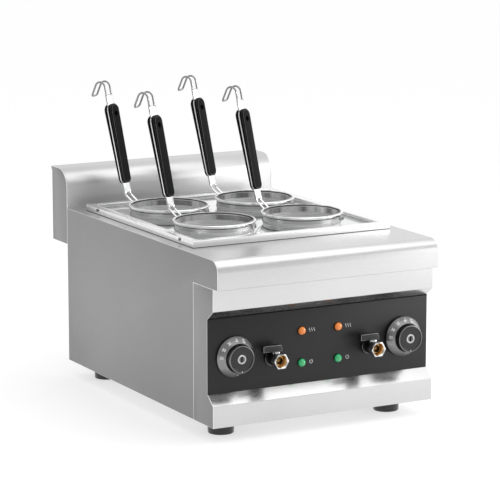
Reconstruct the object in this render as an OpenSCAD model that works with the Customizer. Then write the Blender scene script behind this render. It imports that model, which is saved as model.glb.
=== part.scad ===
// Countertop electric pasta cooker: a stainless casing with two wells, four lift-out baskets,
// two thermostats and two drain valves.
// Millimetres. +Z is up, -Y faces the user, the origin is under the middle of the outline at floor level.

/* [Baskets] */
// Outer radius of a basket's cup.
cup_r = 64.5; // [50:0.5:80]
// Sheet thickness of a cup.
cup_wall = 1; // [0.6:0.1:2]
// Clear distance between neighbouring cups.
cup_gap = 34.5; // [20:0.5:60]
// Radius of the round between a cup's wall and its bottom.
cup_round = 10; // [4:0.5:20]
// Height of the rim wire's middle above the basket plate.
rim_rise = 13.5; // [11:0.5:40]
// Radius of the rim wire.
rim_wire_r = 2; // [1.2:0.1:3]
// Radius of a drain hole in the cup.
drip_r = 4; // [2:0.1:6]
// Number of drain holes round the cup.
drip_round = 18; // [8:1:24]
// Number of rows of drain holes.
drip_rows = 5; // [2:1:6]
// Height of the solid band above the top row of drain holes.
drip_band = 60; // [40:1:80]
// Direction of the handles in plan, from +X towards +Y.
handle_turn = 120; // [90:1:150]
// Width of the rest lug opposite the handle.
lug_w = 12; // [8:0.5:20]
// Reach of the rest lug past the rim wire.
lug_reach = 8; // [5:0.5:14]
// Drop of the rest lug's lip.
lug_drop = 7; // [4:0.5:9]

/* [Handles] */
// Lean of the handle away from the upright.
lean = 12.6; // [0:0.1:25]
// Distance from the cup's axis to the lower end of the grip.
grip_out = 87.2; // [84:0.1:110]
// Height of the grip's lower end above the rim wire.
grip_up = 30.5; // [24:0.5:60]
// Length of the grip.
grip_l = 136; // [90:1:180]
// Width of the grip.
grip_w = 25; // [22:0.5:34]
// Thickness of one grip scale at the grip's upper end.
scale_t = 7.2; // [4:0.1:9]
// Thickness of one grip scale at the grip's lower end.
scale_low = 4; // [3:0.1:8]
// Corner radius of a grip scale.
grip_round = 8; // [3:0.5:11]
// Width of the flat tang.
tang_w = 20; // [18:0.5:24]
// Thickness of the flat tang.
tang_t = 2; // [1.5:0.1:3]
// Step from the edge of the grip's scales in to the edge of the tang between them.
tang_step = 0.3; // [0.1:0.1:1.5]
// Length of tang showing below the grip.
tang_low = 16.5; // [14:0.5:18]
// Length of tang showing above the grip.
tang_high = 16; // [12:0.5:30]
// Radius of the handle wires.
wire_r = 1.6; // [1.2:0.1:2.4]
// Distance between the two parallel handle wires.
wire_gap = 14.5; // [10:0.5:16]
// Length of wire let into the tang at each end.
weld_l = 3; // [2:0.5:10]
// Length of wire between the tang's end and its bend.
bend_low = 3; // [2.6:0.1:6]
// Radius of the hook's bend.
hook_r = 9.8; // [8.5:0.1:16]
// Angle that the hook's bend turns through.
hook_turn = 144; // [120:1:170]
// Length of the hook's straight free leg.
hook_end = 17; // [8:0.5:24]
// Height of the hook's bend above the tang.
hook_up = 13.7; // [6:0.1:24]
// Corner radius of the hook's closed end.
hook_round = 3.6; // [2.6:0.1:5]
// Radius of the grip rivet's head.
rivet_r = 4.4; // [3:0.1:6]
// Distance of the rivet from the upper end of the grip.
rivet_in = 17; // [10:0.5:30]
// Depth of the rivet's head below the face of the scale.
rivet_sink = 1.5; // [0.5:0.1:3]

/* [Tray] */
// Space between the cups and the inside of the tray at the sides.
tray_side = 20; // [14:0.5:40]
// Space between the cups and the inside of the tray at front and back.
tray_end = 38; // [34:0.5:60]
// Width of the tray's raised border.
bar_w = 14.5; // [8:0.5:25]
// Height of the tray's border above the top cover.
tray_h = 10.8; // [9:0.1:20]
// Depth of the basket plate below the border.
plate_drop = 5.8; // [4:0.1:7]
// Clearance between a cup and its hole in the plate.
hole_gap = 1.5; // [0.5:0.1:3]
// Distance between the border's side screws.
screw_pitch = 306; // [200:1:330]
// Radius of a side screw's head.
screw_head_r = 2.4; // [1.8:0.1:2.6]
// Radius of a side screw's shank.
screw_r = 1.5; // [1:0.1:2]

/* [Wells] */
// Space between the cups and the well's side walls.
well_side = 9; // [5:0.5:12]
// Space between the cups and the well's end walls.
well_end = 31; // [24:0.5:33]
// Corner radius of a well in plan.
well_round = 18; // [8:1:24]
// Width of the flange round a well.
well_flange = 5; // [3:0.5:6]
// Height of the false bottom above the well's floor.
guard_h = 26; // [22:0.5:40]
// Clearance round the false bottom.
guard_gap = 1.5; // [0.5:0.1:4]
// Radius of a false bottom's leg.
leg_r = 4; // [2:0.5:8]
// Radius of a hole in the false bottom.
guard_hole_r = 7; // [4:0.5:9]
// Radius of the heating element's tube.
tube_r = 4; // [3:0.1:5]
// Spacing of the heating element's legs.
tube_pitch = 30; // [20:0.5:36]
// Height of the heating element above the well's floor.
tube_up = 12; // [8:0.5:14]
// Distance from the well's end walls to the element's bends.
tube_in = 45; // [38:1:90]
// Radius of the thermostat's bulb.
bulb_r = 3; // [2:0.1:4]
// Length of the thermostat's bulb.
bulb_l = 75; // [50:1:90]
// Height of the bulb above the false bottom.
bulb_up = 8; // [6:0.5:14]

/* [Casing] */
// Thickness of the casing's sheet.
sheet = 1.2; // [0.8:0.1:2]
// Top cover showing at each side of the tray.
side_margin = 19.25; // [10:0.25:40]
// Top cover behind the tray.
back_margin = 36; // [20:0.5:80]
// Distance from the fascia to the tray, which holds the controls.
front_bay = 102.5; // [95:0.5:140]
// Height of the feet.
foot_h = 25.5; // [18:0.5:60]
// Height of the band below the control recess.
lower_band = 34.5; // [20:0.5:60]
// Height of the slope below the control panel.
lower_slope = 15.5; // [8:0.5:30]
// Height of the control panel.
panel_h = 120.5; // [110:0.5:150]
// Height of the slope above the control panel.
upper_slope = 14; // [8:0.5:30]
// Height of the band above the control recess.
upper_band = 35.5; // [20:0.5:60]
// Height of the top cover's rounded front.
cover_drop = 46; // [36:0.5:80]
// How far the top cover stands out in front of the fascia.
overhang = 15.5; // [5:0.5:17.5]
// Radius of the top cover's front edge.
nose_r = 20; // [10:0.5:30]
// Depth of the fascia's folded sides.
seam = 65.5; // [30:0.5:95]
// Width of the return flange under the top cover's front.
return_w = 10; // [4:0.5:20]
// Depth of the control recess.
recess = 18; // [10:0.5:24]
// Thickness of the control panel.
panel_t = 1.5; // [1:0.1:3]

/* [Splashback] */
// Height of the splashback above the top cover.
splash_rise = 65; // [40:1:120]
// Distance that the splashback hangs below the top cover.
splash_hang = 63; // [20:1:120]
// Depth of the splashback without its lip.
splash_d = 60; // [40:1:90]
// Radius of the splashback's front top edge.
splash_r = 32; // [10:1:38]
// How far the lip stands out at the back.
lip_out = 4; // [2:0.5:8]
// Height of the lip.
lip_h = 8; // [4:0.5:16]

/* [Controls] */
// Distance of a dial from the end of the panel.
dial_side = 46.5; // [40:0.5:60]
// Height of a dial's middle above the panel's lower edge.
dial_up = 56.8; // [45:0.1:70]
// Outer radius of the dial ring.
ring_r = 32.5; // [28:0.5:35]
// Height of the dial ring off the panel.
ring_h = 17.5; // [10:0.5:22]
// Height of the dial ring's outer edge off the panel.
ring_edge = 5.5; // [1:0.5:9]
// Width of the dial ring's flat crest.
ring_crest = 1; // [0.6:0.1:2]
// Radius of a knob.
knob_r = 22; // [18:0.5:25]
// Height of a knob's face off the panel.
knob_h = 27; // [20:0.5:34]
// Wall thickness of a knob.
knob_wall = 3; // [2:0.1:5]
// Depth of the dish in a knob's face.
knob_dish = 1; // [0.5:0.1:2]
// Clearance between a knob and its dial ring.
knob_gap = 0.6; // [0.3:0.1:1.5]
// Clearance between a knob and the panel.
knob_off = 1; // [0.5:0.1:2]
// Radius of the thermostat's spindle.
spindle_r = 3; // [2:0.1:4]
// Running clearance round the spindle.
run_gap = 0.05; // [0.01:0.01:0.1]
// Radius of the spindle's slotted cap.
cap_r = 7.5; // [5:0.1:9]
// Width of the slot in the cap.
slot_w = 2.2; // [1:0.1:4]
// Width of the thermostat's case.
stat_w = 40; // [30:1:46]
// Depth of the thermostat's case.
stat_d = 28; // [20:1:40]
// Length of the thermostat's threaded neck behind the fascia.
neck_l = 18; // [10:0.5:24]
// Radius of the thermostat's neck.
neck_r = 7; // [5:0.5:9]
// Distance of a lamp from the middle of the panel.
lamp_x = 33.2; // [20:0.1:45]
// Height of the power lamps above the panel's lower edge.
power_up = 33.5; // [20:0.5:45]
// Height of the heat lamps above the panel's lower edge.
heat_up = 85; // [70:0.5:95]
// Radius of a lamp's lens.
lens_r = 6.5; // [4:0.1:8]
// Height of a lens's straight rim.
lens_rim = 2; // [1:0.1:4]
// Height of a lens's dome above its rim.
lens_dome = 5.5; // [3:0.1:6]
// Radius of a lamp's body.
lamp_r = 5; // [3:0.1:6]
// Length of a lamp's body behind the panel.
lamp_l = 30; // [15:1:45]

/* [Drains] */
// Distance of a drain valve from the end of the panel.
valve_side = 111.7; // [105:0.1:125]
// Height of a drain valve's middle above the panel's lower edge.
valve_up = 48.1; // [40:0.1:60]
// Reach of the valve's outlet in front of the panel.
valve_reach = 36; // [34:0.5:48]
// Width of the outlet's hexagon across its flats.
outlet_af = 23; // [22:0.5:30]
// Length of the outlet's hexagon.
outlet_l = 13; // [9:0.5:14]
// Radius of the outlet's bore.
outlet_r = 9.3; // [7:0.1:10]
// Radius of the valve's barrel.
barrel_r = 11; // [10.5:0.1:12]
// Radius of the collar against the panel.
collar_r = 13; // [12:0.1:16]
// Thickness of the collar.
collar_t = 6; // [3:0.5:7]
// Distance of the valve's stem from the panel.
stem_out = 18; // [17:0.5:20]
// Radius of the valve's stem.
stem_r = 3; // [2:0.1:3.6]
// Radius of the valve's ball.
ball_r = 8.4; // [7:0.1:9]
// Radius of the port through the ball.
port_r = 5.4; // [3:0.1:5.8]
// Clearance round the ball.
ball_gap = 0.3; // [0.1:0.05:0.5]
// Thickness of the seat between the ball and the outlet's bore.
seat_t = 0.8; // [0.4:0.1:2]
// Width of the bonnet's hexagon across its flats.
bonnet_af = 11; // [9:0.5:13]
// Height of the bonnet above the valve's middle.
bonnet_up = 13.2; // [12.8:0.1:16]
// Clearance between the bonnet and the lever.
lever_gap = 0.5; // [0.3:0.1:2]
// Length of the lever from the stem to its end.
lever_l = 25.2; // [16:0.1:28]
// Length of the lever behind the stem.
lever_tail = 8.4; // [5:0.1:10]
// Width of the lever.
lever_w = 10; // [8:0.5:14]
// Height of the lever.
lever_h = 10.3; // [8:0.1:14]
// Radius of the valve's threaded tail.
tail_r = 10.4; // [9.6:0.1:11]
// Length of the valve's tail behind the fascia.
tail_l = 24; // [16:0.5:30]
// Thickness of the nut behind the fascia.
nut_t = 7; // [4:0.5:10]
// Radius of the drain pipe.
pipe_r = 10.6; // [9.8:0.1:12]
// Wall thickness of the drain pipe.
pipe_wall = 1.6; // [1:0.1:2.4]
// Length of the socket that joins the pipe to the valve.
socket_l = 24; // [18:0.5:36]

/* [Base] */
// Radius of a foot.
foot_r = 21.8; // [12:0.1:26]
// Taper of a foot towards the floor.
foot_taper = 0.8; // [0:0.1:4]
// Distance of the feet from the casing's sides.
foot_side = 47.3; // [30:0.1:70]
// Distance of the front feet from the fascia.
foot_front = 64.2; // [40:0.1:90]
// Distance of the rear feet from the casing's back.
foot_back = 52.2; // [35:0.1:90]
// Radius of a foot's bolt.
bolt_r = 3; // [2:0.1:5]
// Distance of the cable gland from the casing's left side.
gland_side = 80; // [40:1:160]
// Height of the cable gland above the base.
gland_up = 60; // [30:1:120]
// Radius of the cable gland's bore.
gland_r = 5; // [3:0.1:7]
// Length of the cable gland behind the casing.
gland_l = 22; // [14:0.5:35]
// Length of the terminal block.
block_l = 72; // [40:1:110]
// Width of the terminal block.
block_w = 26; // [16:1:40]
// Height of the terminal block.
block_h = 24; // [14:1:36]

/* [Hidden] */
$fn = 72;
eps = 0.01;
lift_gap = 0.3;
thread_gap = 0.2;
pitch = 2 * cup_r + cup_gap;
tray_x = pitch + 2 * cup_r + 2 * tray_side + 2 * bar_w;
tray_y = pitch + 2 * cup_r + 2 * tray_end + 2 * bar_w;
width = tray_x + 2 * side_margin;
body_d = front_bay + tray_y + back_margin;
side = width / 2;
grid_y = front_bay + tray_y / 2;
body_z = foot_h;
panel_z0 = body_z + lower_band + lower_slope;
panel_z1 = panel_z0 + panel_h;
cover_z = panel_z1 + upper_slope + upper_band;
top_z = cover_z + cover_drop;
tray_z = top_z + tray_h;
plate_z = tray_z - plate_drop;
rim_z = plate_z + rim_rise;
front_reach = valve_reach - recess;
total_d = front_reach + body_d + splash_d + lip_out;
yf = front_reach - total_d / 2;
wall_y = recess + panel_t + sheet;
dial_x = side - dial_side;
valve_x = side - valve_side;
gland_x = gland_side - side;
dial_z = panel_z0 + dial_up;
valve_z = panel_z0 + valve_up;
bore_l = valve_reach - stem_out - ball_r - ball_gap - seat_t;
floor_z = valve_z - pipe_r - 1;
guard_z = floor_z + guard_h;
cup_z = guard_z + lift_gap;
well_x0 = pitch / 2 - cup_r - well_side;
well_x1 = pitch / 2 + cup_r + well_side;
well_xc = pitch / 2;
well_y0 = grid_y - pitch / 2 - cup_r - well_end;
well_y1 = grid_y + pitch / 2 + cup_r + well_end;
rim_r = cup_r + rim_wire_r;
lug_t = 1.5;
guard_pitch = 26;
guard_edge = 24;
leg_in = 10;
capillary_r = 1;
stat_y = wall_y + neck_l;
spindle_hole_r = spindle_r + 1.5;
lamp_hole_r = lamp_r + thread_gap;
valve_hole_r = tail_r + thread_gap;
hook_z = grip_l + tang_high + hook_up;
weld_sink = 0.4;
weld_gap = 0.15;
join_in = 0.4;
join_step = 0.05;
scale_rise = (scale_t - scale_low) / grip_l;
rivet_h = tang_t / 2 + scale_low + scale_rise * (grip_l - rivet_in) - rivet_sink;
foot_ys = [foot_front, body_d - foot_back];
steel = [0.78, 0.79, 0.8];
dark = [0.12, 0.12, 0.13];

// Straight round bar from one point to another.
module rod(p, q, r) {
    d = q - p;
    l = norm(d);
    translate(p) rotate([0, acos(d.z / l), atan2(d.y, d.x)]) cylinder(h = l, r = r);
}

// Rectangle with round corners, from corner to corner.
module round_rect(x0, x1, y0, y1, r) {
    translate([x0 + r, y0]) square([x1 - x0 - 2 * r, y1 - y0]);
    translate([x0, y0 + r]) square([x1 - x0, y1 - y0 - 2 * r]);
    for (x = [x0 + r, x1 - r], y = [y0 + r, y1 - r]) translate([x, y]) circle(r);
}

// Profile in depth and height, drawn out along X from x0 over the length l.
module along_x(x0, l) {
    translate([x0, yf, 0]) rotate([90, 0, 90]) linear_extrude(l) children();
}

// Place on the control panel's face: local +Z points to the user.
module on_panel(x, z) {
    translate([x, yf + recess, z]) rotate([90, 0, 0]) children();
}

// Outline of the top cover seen from the side.
module cover_outline() {
    translate([-overhang + nose_r, cover_z]) square([body_d + overhang - nose_r, cover_drop]);
    translate([-overhang, cover_z]) square([nose_r, cover_drop - nose_r]);
    translate([-overhang + nose_r, top_z - nose_r]) circle(nose_r);
}

// Space inside the top cover seen from the side.
module cover_inside() {
    translate([-overhang + nose_r, cover_z + sheet]) square([body_d + overhang, cover_drop - 2 * sheet]);
    translate([-overhang + sheet, cover_z + sheet]) square([nose_r, cover_drop - nose_r - sheet]);
    translate([-overhang + nose_r, top_z - nose_r]) circle(nose_r - sheet);
    translate([return_w, cover_z - 1]) square([body_d + 1, cover_drop + 1 - sheet]);
}

// Side sheet with the top cover's rounded front, behind the fascia's folded side.
module side_sheet(x0) {
    along_x(x0, sheet) {
        cover_outline();
        translate([seam, body_z]) square([body_d - seam, cover_z - body_z + eps]);
    }
}

module left_side_panel() color(steel) side_sheet(-side);

module right_side_panel() color(steel) side_sheet(side - sheet);

// Plan outline of the right-hand well's inside.
module well_plan(grow) {
    round_rect(well_x0 - grow, well_x1 + grow, well_y0 - grow, well_y1 + grow, well_round + grow);
}

module top_cover() color(steel) difference() {
    along_x(-side + sheet, width - 2 * sheet) difference() {
        cover_outline();
        cover_inside();
    }
    for (m = [0, 1]) mirror([m, 0, 0]) translate([0, yf, top_z - sheet - 1])
        linear_extrude(sheet + 2) well_plan(0);
}

// Folded front sheet with the control recess, and its folded sides.
module front_fascia() color(steel) difference() {
    union() {
        along_x(-side, width) polygon([[0, body_z], [0, body_z + lower_band], [recess, panel_z0],
            [recess + panel_t, panel_z0], [recess + panel_t, panel_z1], [recess, panel_z1],
            [0, panel_z1 + upper_slope], [0, cover_z], [sheet, cover_z],
            [sheet, panel_z1 + upper_slope + sheet],
            [wall_y, panel_z1 + sheet], [wall_y, panel_z0 - sheet], [sheet, body_z + lower_band - sheet],
            [sheet, body_z]]);
        for (x = [-side, side - sheet]) along_x(x, sheet) polygon([[0, body_z], [0, body_z + lower_band],
            [recess, panel_z0], [recess + panel_t, panel_z0], [recess + panel_t, panel_z1],
            [recess, panel_z1], [0, panel_z1 + upper_slope], [0, cover_z], [seam, cover_z], [seam, body_z]]);
    }
    panel_holes();
}

// Holes that the control panel and the fascia share.
module panel_holes() {
    for (s = [-1, 1]) {
        on_panel(s * dial_x, dial_z) translate([0, 0, -40]) cylinder(h = 60, r = spindle_hole_r);
        on_panel(s * valve_x, valve_z) translate([0, 0, -40]) cylinder(h = 60, r = valve_hole_r);
        for (u = [power_up, heat_up]) on_panel(s * lamp_x, panel_z0 + u) translate([0, 0, -40])
            cylinder(h = 60, r = lamp_hole_r);
    }
}

module control_panel() color(dark) difference() {
    along_x(-side, width) translate([recess, panel_z0]) square([panel_t, panel_h]);
    panel_holes();
}

module back_panel() color(steel) difference() {
    along_x(-side + sheet, width - 2 * sheet)
        translate([body_d - sheet, body_z]) square([sheet, top_z - sheet - body_z]);
    translate([gland_x, yf + body_d - 5, body_z + gland_up]) rotate([-90, 0, 0])
        cylinder(h = 10, r = gland_r + 3);
}

module base_plate() color(steel) difference() {
    translate([-side + sheet, yf + sheet, body_z]) cube([width - 2 * sheet, body_d - 2 * sheet, sheet]);
    for (x = [-side + foot_side, side - foot_side], y = foot_ys)
        translate([x, yf + y, body_z - 1]) cylinder(h = sheet + 2, r = bolt_r + thread_gap);
}

// Outline of the splashback seen from the side, set in by i.
module splash_outline(i) {
    z0 = top_z - splash_hang;
    z1 = top_z + splash_rise;
    translate([body_d + splash_r, z0 + i]) square([splash_d - splash_r - i, z1 - z0 - 2 * i]);
    translate([body_d + i, z0 + i]) square([splash_r, z1 - z0 - splash_r - i]);
    translate([body_d + splash_r, z1 - splash_r]) circle(splash_r - i);
}

// Hem along the splashback's top back edge.
module splash_lip() {
    translate([body_d + splash_d, top_z + splash_rise - lip_h]) square([lip_out, lip_h]);
}

module splashback() color(steel) along_x(-side + sheet, width - 2 * sheet) {
    difference() {
        splash_outline(0);
        splash_outline(sheet);
    }
    splash_lip();
}

module splashback_ends() color(steel) for (x = [-side, side - sheet]) along_x(x, sheet) {
    splash_outline(0);
    splash_lip();
}

// Rectangular ring on the tray's outline, from inset a to inset b.
module tray_ring(a, b) {
    difference() {
        translate([-tray_x / 2 + a, front_bay + a]) square([tray_x - 2 * a, tray_y - 2 * a]);
        translate([-tray_x / 2 + b, front_bay + b]) square([tray_x - 2 * b, tray_y - 2 * b]);
    }
}

// Axes of the four side screws, pointing into the tray.
module at_screws() {
    for (m = [0, 1], s = [-1, 1]) mirror([m, 0, 0])
        translate([tray_x / 2, yf + grid_y + s * screw_pitch / 2, (plate_z + tray_z - sheet) / 2])
            rotate([0, -90, 0]) children();
}

// Folded border of the tray: outer wall, flat top and inner lip.
module tray_frame() color(steel) difference() {
    translate([0, yf, 0]) {
        translate([0, 0, top_z]) linear_extrude(tray_h) tray_ring(0, sheet);
        translate([0, 0, tray_z - sheet]) linear_extrude(sheet) tray_ring(0, bar_w);
        translate([0, 0, plate_z]) linear_extrude(plate_drop) tray_ring(bar_w - sheet, bar_w);
    }
    at_screws() translate([0, 0, -1]) cylinder(h = sheet + 2, r = screw_r + thread_gap);
}

// Centres of the four baskets.
module at_basket(sx, sy) {
    translate([sx * pitch / 2, yf + grid_y + sy * pitch / 2, 0]) children();
}

module basket_plate() color(steel) difference() {
    translate([0, yf, 0]) {
        translate([-tray_x / 2 + sheet, front_bay + sheet, plate_z - sheet])
            cube([tray_x - 2 * sheet, tray_y - 2 * sheet, sheet]);
        translate([0, 0, plate_z - sheet]) linear_extrude(plate_drop) tray_ring(sheet, 2 * sheet);
    }
    for (sx = [-1, 1], sy = [-1, 1]) at_basket(sx, sy) translate([0, 0, plate_z - sheet - 1])
        cylinder(h = sheet + 2, r = cup_r + hole_gap);
    at_screws() translate([0, 0, sheet - 1]) cylinder(h = sheet + 2, r = screw_r + thread_gap);
}

module frame_screws() color([0.3, 0.3, 0.31]) at_screws() difference() {
    union() {
        translate([0, 0, -1.6]) cylinder(h = 1.6, r = screw_head_r);
        cylinder(h = 6, r = screw_r);
    }
    translate([-screw_head_r, -0.4, -1.6 - eps]) cube([2 * screw_head_r, 0.8, 0.7]);
}

// Deep well with its flange under the top cover and its feed-throughs in the front wall.
module well_shell() {
    translate([0, yf, 0]) difference() {
        union() {
            translate([0, 0, floor_z - sheet]) linear_extrude(top_z - floor_z) well_plan(sheet);
            translate([0, 0, top_z - 2 * sheet]) linear_extrude(sheet) well_plan(well_flange);
        }
        translate([0, 0, floor_z]) linear_extrude(top_z - floor_z) well_plan(0);
        translate([valve_x, well_y0 + 1, valve_z]) rotate([90, 0, 0])
            cylinder(h = sheet + 2, r = pipe_r - pipe_wall);
        for (s = [-1, 1]) translate([well_xc + s * 1.5 * tube_pitch, well_y0 + 1, floor_z + tube_up])
            rotate([90, 0, 0]) cylinder(h = sheet + 2, r = tube_r + thread_gap);
        translate([cap_x(), well_y0 + 1, bulb_z()]) rotate([90, 0, 0])
            cylinder(h = sheet + 2, r = capillary_r + thread_gap);
    }
}

// Place of the thermostat's capillary tube.
function cap_x() = dial_x - stat_w / 2 + 3;
function bulb_z() = guard_z + bulb_up;

module well_left() color(steel) mirror([1, 0, 0]) well_shell();

module well_right() color(steel) well_shell();

// Perforated false bottom on four legs, over the heating element.
module guard() {
    gx0 = well_x0 + guard_gap;
    gx1 = well_x1 - guard_gap;
    gy0 = well_y0 + guard_gap;
    gy1 = well_y1 - guard_gap;
    nx = floor((gx1 - gx0 - guard_edge) / guard_pitch);
    ny = floor((gy1 - gy0 - guard_edge) / guard_pitch);
    translate([0, yf, 0]) {
        difference() {
            translate([0, 0, guard_z - sheet]) linear_extrude(sheet)
                round_rect(gx0, gx1, gy0, gy1, well_round - guard_gap);
            for (i = [0:nx - 1], j = [0:ny - 1])
                translate([well_xc + (i - (nx - 1) / 2) * guard_pitch,
                    grid_y + (j - (ny - 1) / 2) * guard_pitch, guard_z - sheet - 1])
                    cylinder(h = sheet + 2, r = guard_hole_r);
        }
        for (x = [gx0 + leg_in, gx1 - leg_in], y = [gy0 + leg_in, gy1 - leg_in])
            translate([x, y, floor_z]) cylinder(h = guard_h - sheet, r = leg_r);
    }
}

module false_bottom_left() color(steel) mirror([1, 0, 0]) guard();

module false_bottom_right() color(steel) guard();

// Tubular heating element: four legs, three bends, and two ends through the well's front wall.
module element() {
    ya = well_y0 + tube_in;
    yb = well_y1 - tube_in;
    z = floor_z + tube_up;
    translate([well_xc, yf, z]) {
        for (s = [-1, 1]) {
            translate([s * 1.5 * tube_pitch, well_y0 - sheet - 14, 0]) rotate([-90, 0, 0])
                cylinder(h = yb - well_y0 + sheet + 14, r = tube_r);
            translate([s * tube_pitch / 2, ya, 0]) rotate([-90, 0, 0]) cylinder(h = yb - ya, r = tube_r);
            translate([s * tube_pitch, yb, 0]) rotate_extrude(angle = 180)
                translate([tube_pitch / 2, 0]) circle(tube_r);
            translate([s * 1.5 * tube_pitch, well_y0 - sheet, 0]) rotate([90, 0, 0])
                cylinder(h = 5, r = tube_r + 4, $fn = 6);
            translate([s * 1.5 * tube_pitch, well_y0 - sheet - 13, 0]) rotate([90, 0, 0])
                cylinder(h = 11, r = 1.8);
        }
        translate([0, ya, 0]) rotate([0, 0, 180]) rotate_extrude(angle = 180)
            translate([tube_pitch / 2, 0]) circle(tube_r);
    }
}

module element_left() color([0.45, 0.44, 0.43]) mirror([1, 0, 0]) element();

module element_right() color([0.45, 0.44, 0.43]) element();

// Thermostat with its neck against the fascia's recess.
module thermostat(x) {
    on_panel(x, dial_z) difference() {
        union() {
            translate([0, 0, recess - stat_y - stat_d])
                translate([-stat_w / 2, -stat_w / 2, 0]) cube([stat_w, stat_w, stat_d]);
            translate([0, 0, recess - stat_y - eps]) cylinder(h = neck_l + eps, r = neck_r);
        }
        translate([0, 0, recess - stat_y - 14]) cylinder(h = neck_l + 20, r = spindle_r + run_gap);
    }
}

module thermostat_left() color([0.85, 0.84, 0.8]) thermostat(-dial_x);

module thermostat_right() color([0.85, 0.84, 0.8]) thermostat(dial_x);

// Bulb in the front of the well, and its capillary tube to the thermostat.
module bulb() {
    y = well_y0 + bulb_r + 6;
    p = [cap_x(), yf + stat_y + stat_d, bulb_z()];
    q = [cap_x(), yf + y, bulb_z()];
    rod(p, q, capillary_r);
    translate(q) sphere(bulb_r);
    rod(q, q - [bulb_l, 0, 0], bulb_r);
    for (k = [15, bulb_l - 15]) translate(q - [k, 0, 0]) rotate([90, 0, 0]) translate([0, 0, bulb_r - 1])
        cylinder(h = 7, r = 2);
}

module thermostat_bulbs() color([0.72, 0.45, 0.3]) for (m = [0, 1]) mirror([m, 0, 0]) bulb();

module dial_ring(x) {
    r0 = knob_r + knob_gap;
    on_panel(x, dial_z) rotate_extrude() polygon([[r0, 0], [ring_r, 0], [ring_r, ring_edge],
        [r0 + ring_crest, ring_h], [r0, ring_h]]);
}

module dial_ring_left() color(dark) dial_ring(-dial_x);

module dial_ring_right() color(dark) dial_ring(dial_x);

// Hollow knob with a dished face and a hub on the spindle.
module knob(x) {
    hub = cap_r + 2;
    on_panel(x, dial_z) rotate_extrude() polygon([[knob_r - knob_wall, knob_off], [knob_r, knob_off],
        [knob_r, knob_h - 1], [knob_r - 1, knob_h], [knob_r - knob_wall, knob_h],
        [knob_r - knob_wall - 1, knob_h - knob_dish], [cap_r, knob_h - knob_dish], [cap_r, knob_h - 6],
        [spindle_r, knob_h - 6], [spindle_r, 5], [hub, 5], [hub, knob_h - 9],
        [knob_r - knob_wall, knob_h - 9]]);
}

module knob_left() color(dark) knob(-dial_x);

module knob_right() color(dark) knob(dial_x);

// Thermostat spindle with the slotted cap that shows in the knob's face.
module spindle(x) {
    on_panel(x, dial_z) difference() {
        union() {
            translate([0, 0, recess - stat_y - 12])
                cylinder(h = stat_y - recess + 12 + knob_h - 5, r = spindle_r);
            translate([0, 0, knob_h - 6]) cylinder(h = 6 - knob_dish + 0.6, r = cap_r);
        }
        translate([-slot_w / 2, -cap_r * 0.55, knob_h - 2.4]) cube([slot_w, cap_r * 1.1, 4]);
    }
}

module spindle_left() color(steel) spindle(-dial_x);

module spindle_right() color(steel) spindle(dial_x);

// Domed lens: a straight rim and a cap cut from a ball.
module lens(x, z) {
    ball = (lens_r * lens_r + lens_dome * lens_dome) / (2 * lens_dome);
    on_panel(x, z) rotate_extrude() {
        square([lens_r, lens_rim]);
        intersection() {
            translate([0, lens_rim + lens_dome - ball]) circle(ball);
            translate([0, lens_rim - eps]) square([lens_r, lens_dome + 1]);
        }
    }
}

module lamp_lenses_heat() color([0.95, 0.45, 0.12]) for (s = [-1, 1]) lens(s * lamp_x, panel_z0 + heat_up);

module lamp_lenses_power() color([0.1, 0.65, 0.3]) for (s = [-1, 1]) lens(s * lamp_x, panel_z0 + power_up);

// Lamp bodies behind the lenses, with the nuts that hold them to the fascia.
module lamp_bodies() color([0.9, 0.9, 0.88]) for (s = [-1, 1], u = [power_up, heat_up])
    on_panel(s * lamp_x, panel_z0 + u) {
        translate([0, 0, -lamp_l]) cylinder(h = lamp_l, r = lamp_r);
        translate([0, 0, recess - wall_y - 4]) cylinder(h = 4, r = lamp_r + 3, $fn = 6);
        for (k = [-2, 2]) translate([k, 0, -lamp_l - 8]) cylinder(h = 8 + eps, r = 0.8);
    }

// Ball valve: hexagonal outlet, barrel, collar, bonnet and threaded tail.
module valve_body(x) {
    on_panel(x, valve_z) difference() {
        union() {
            translate([0, 0, valve_reach - outlet_l])
                cylinder(h = outlet_l, r = outlet_af / sqrt(3), $fn = 6);
            translate([0, 0, collar_t - eps])
                cylinder(h = valve_reach - outlet_l - collar_t + 1, r = barrel_r);
            cylinder(h = collar_t, r = collar_r);
            translate([0, 0, recess - wall_y - tail_l])
                cylinder(h = tail_l + wall_y - recess + 1, r = tail_r);
            translate([0, 0, stem_out]) rotate([-90, 0, 0])
                cylinder(h = bonnet_up, r = bonnet_af / sqrt(3), $fn = 6);
        }
        translate([0, 0, valve_reach - bore_l]) cylinder(h = bore_l + 1, r = outlet_r);
        translate([0, 0, stem_out]) cylinder(h = valve_reach, r = port_r + 0.6);
        translate([0, 0, recess - wall_y - tail_l - 1])
            cylinder(h = stem_out + wall_y + tail_l, r = port_r + 0.6);
        translate([0, 0, stem_out]) sphere(ball_r + ball_gap);
        translate([0, 0, stem_out]) rotate([-90, 0, 0]) cylinder(h = bonnet_up + 1, r = stem_r + run_gap);
    }
}

module valve_body_left() color([0.8, 0.78, 0.7]) valve_body(-valve_x);

module valve_body_right() color([0.8, 0.78, 0.7]) valve_body(valve_x);

// Nuts that clamp the valves behind the fascia.
module valve_nuts() color(steel) for (s = [-1, 1]) on_panel(s * valve_x, valve_z)
    translate([0, 0, recess - wall_y - nut_t]) difference() {
        cylinder(h = nut_t, r = tail_r + 6, $fn = 6);
        translate([0, 0, -1]) cylinder(h = nut_t + 2, r = tail_r);
    }

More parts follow.
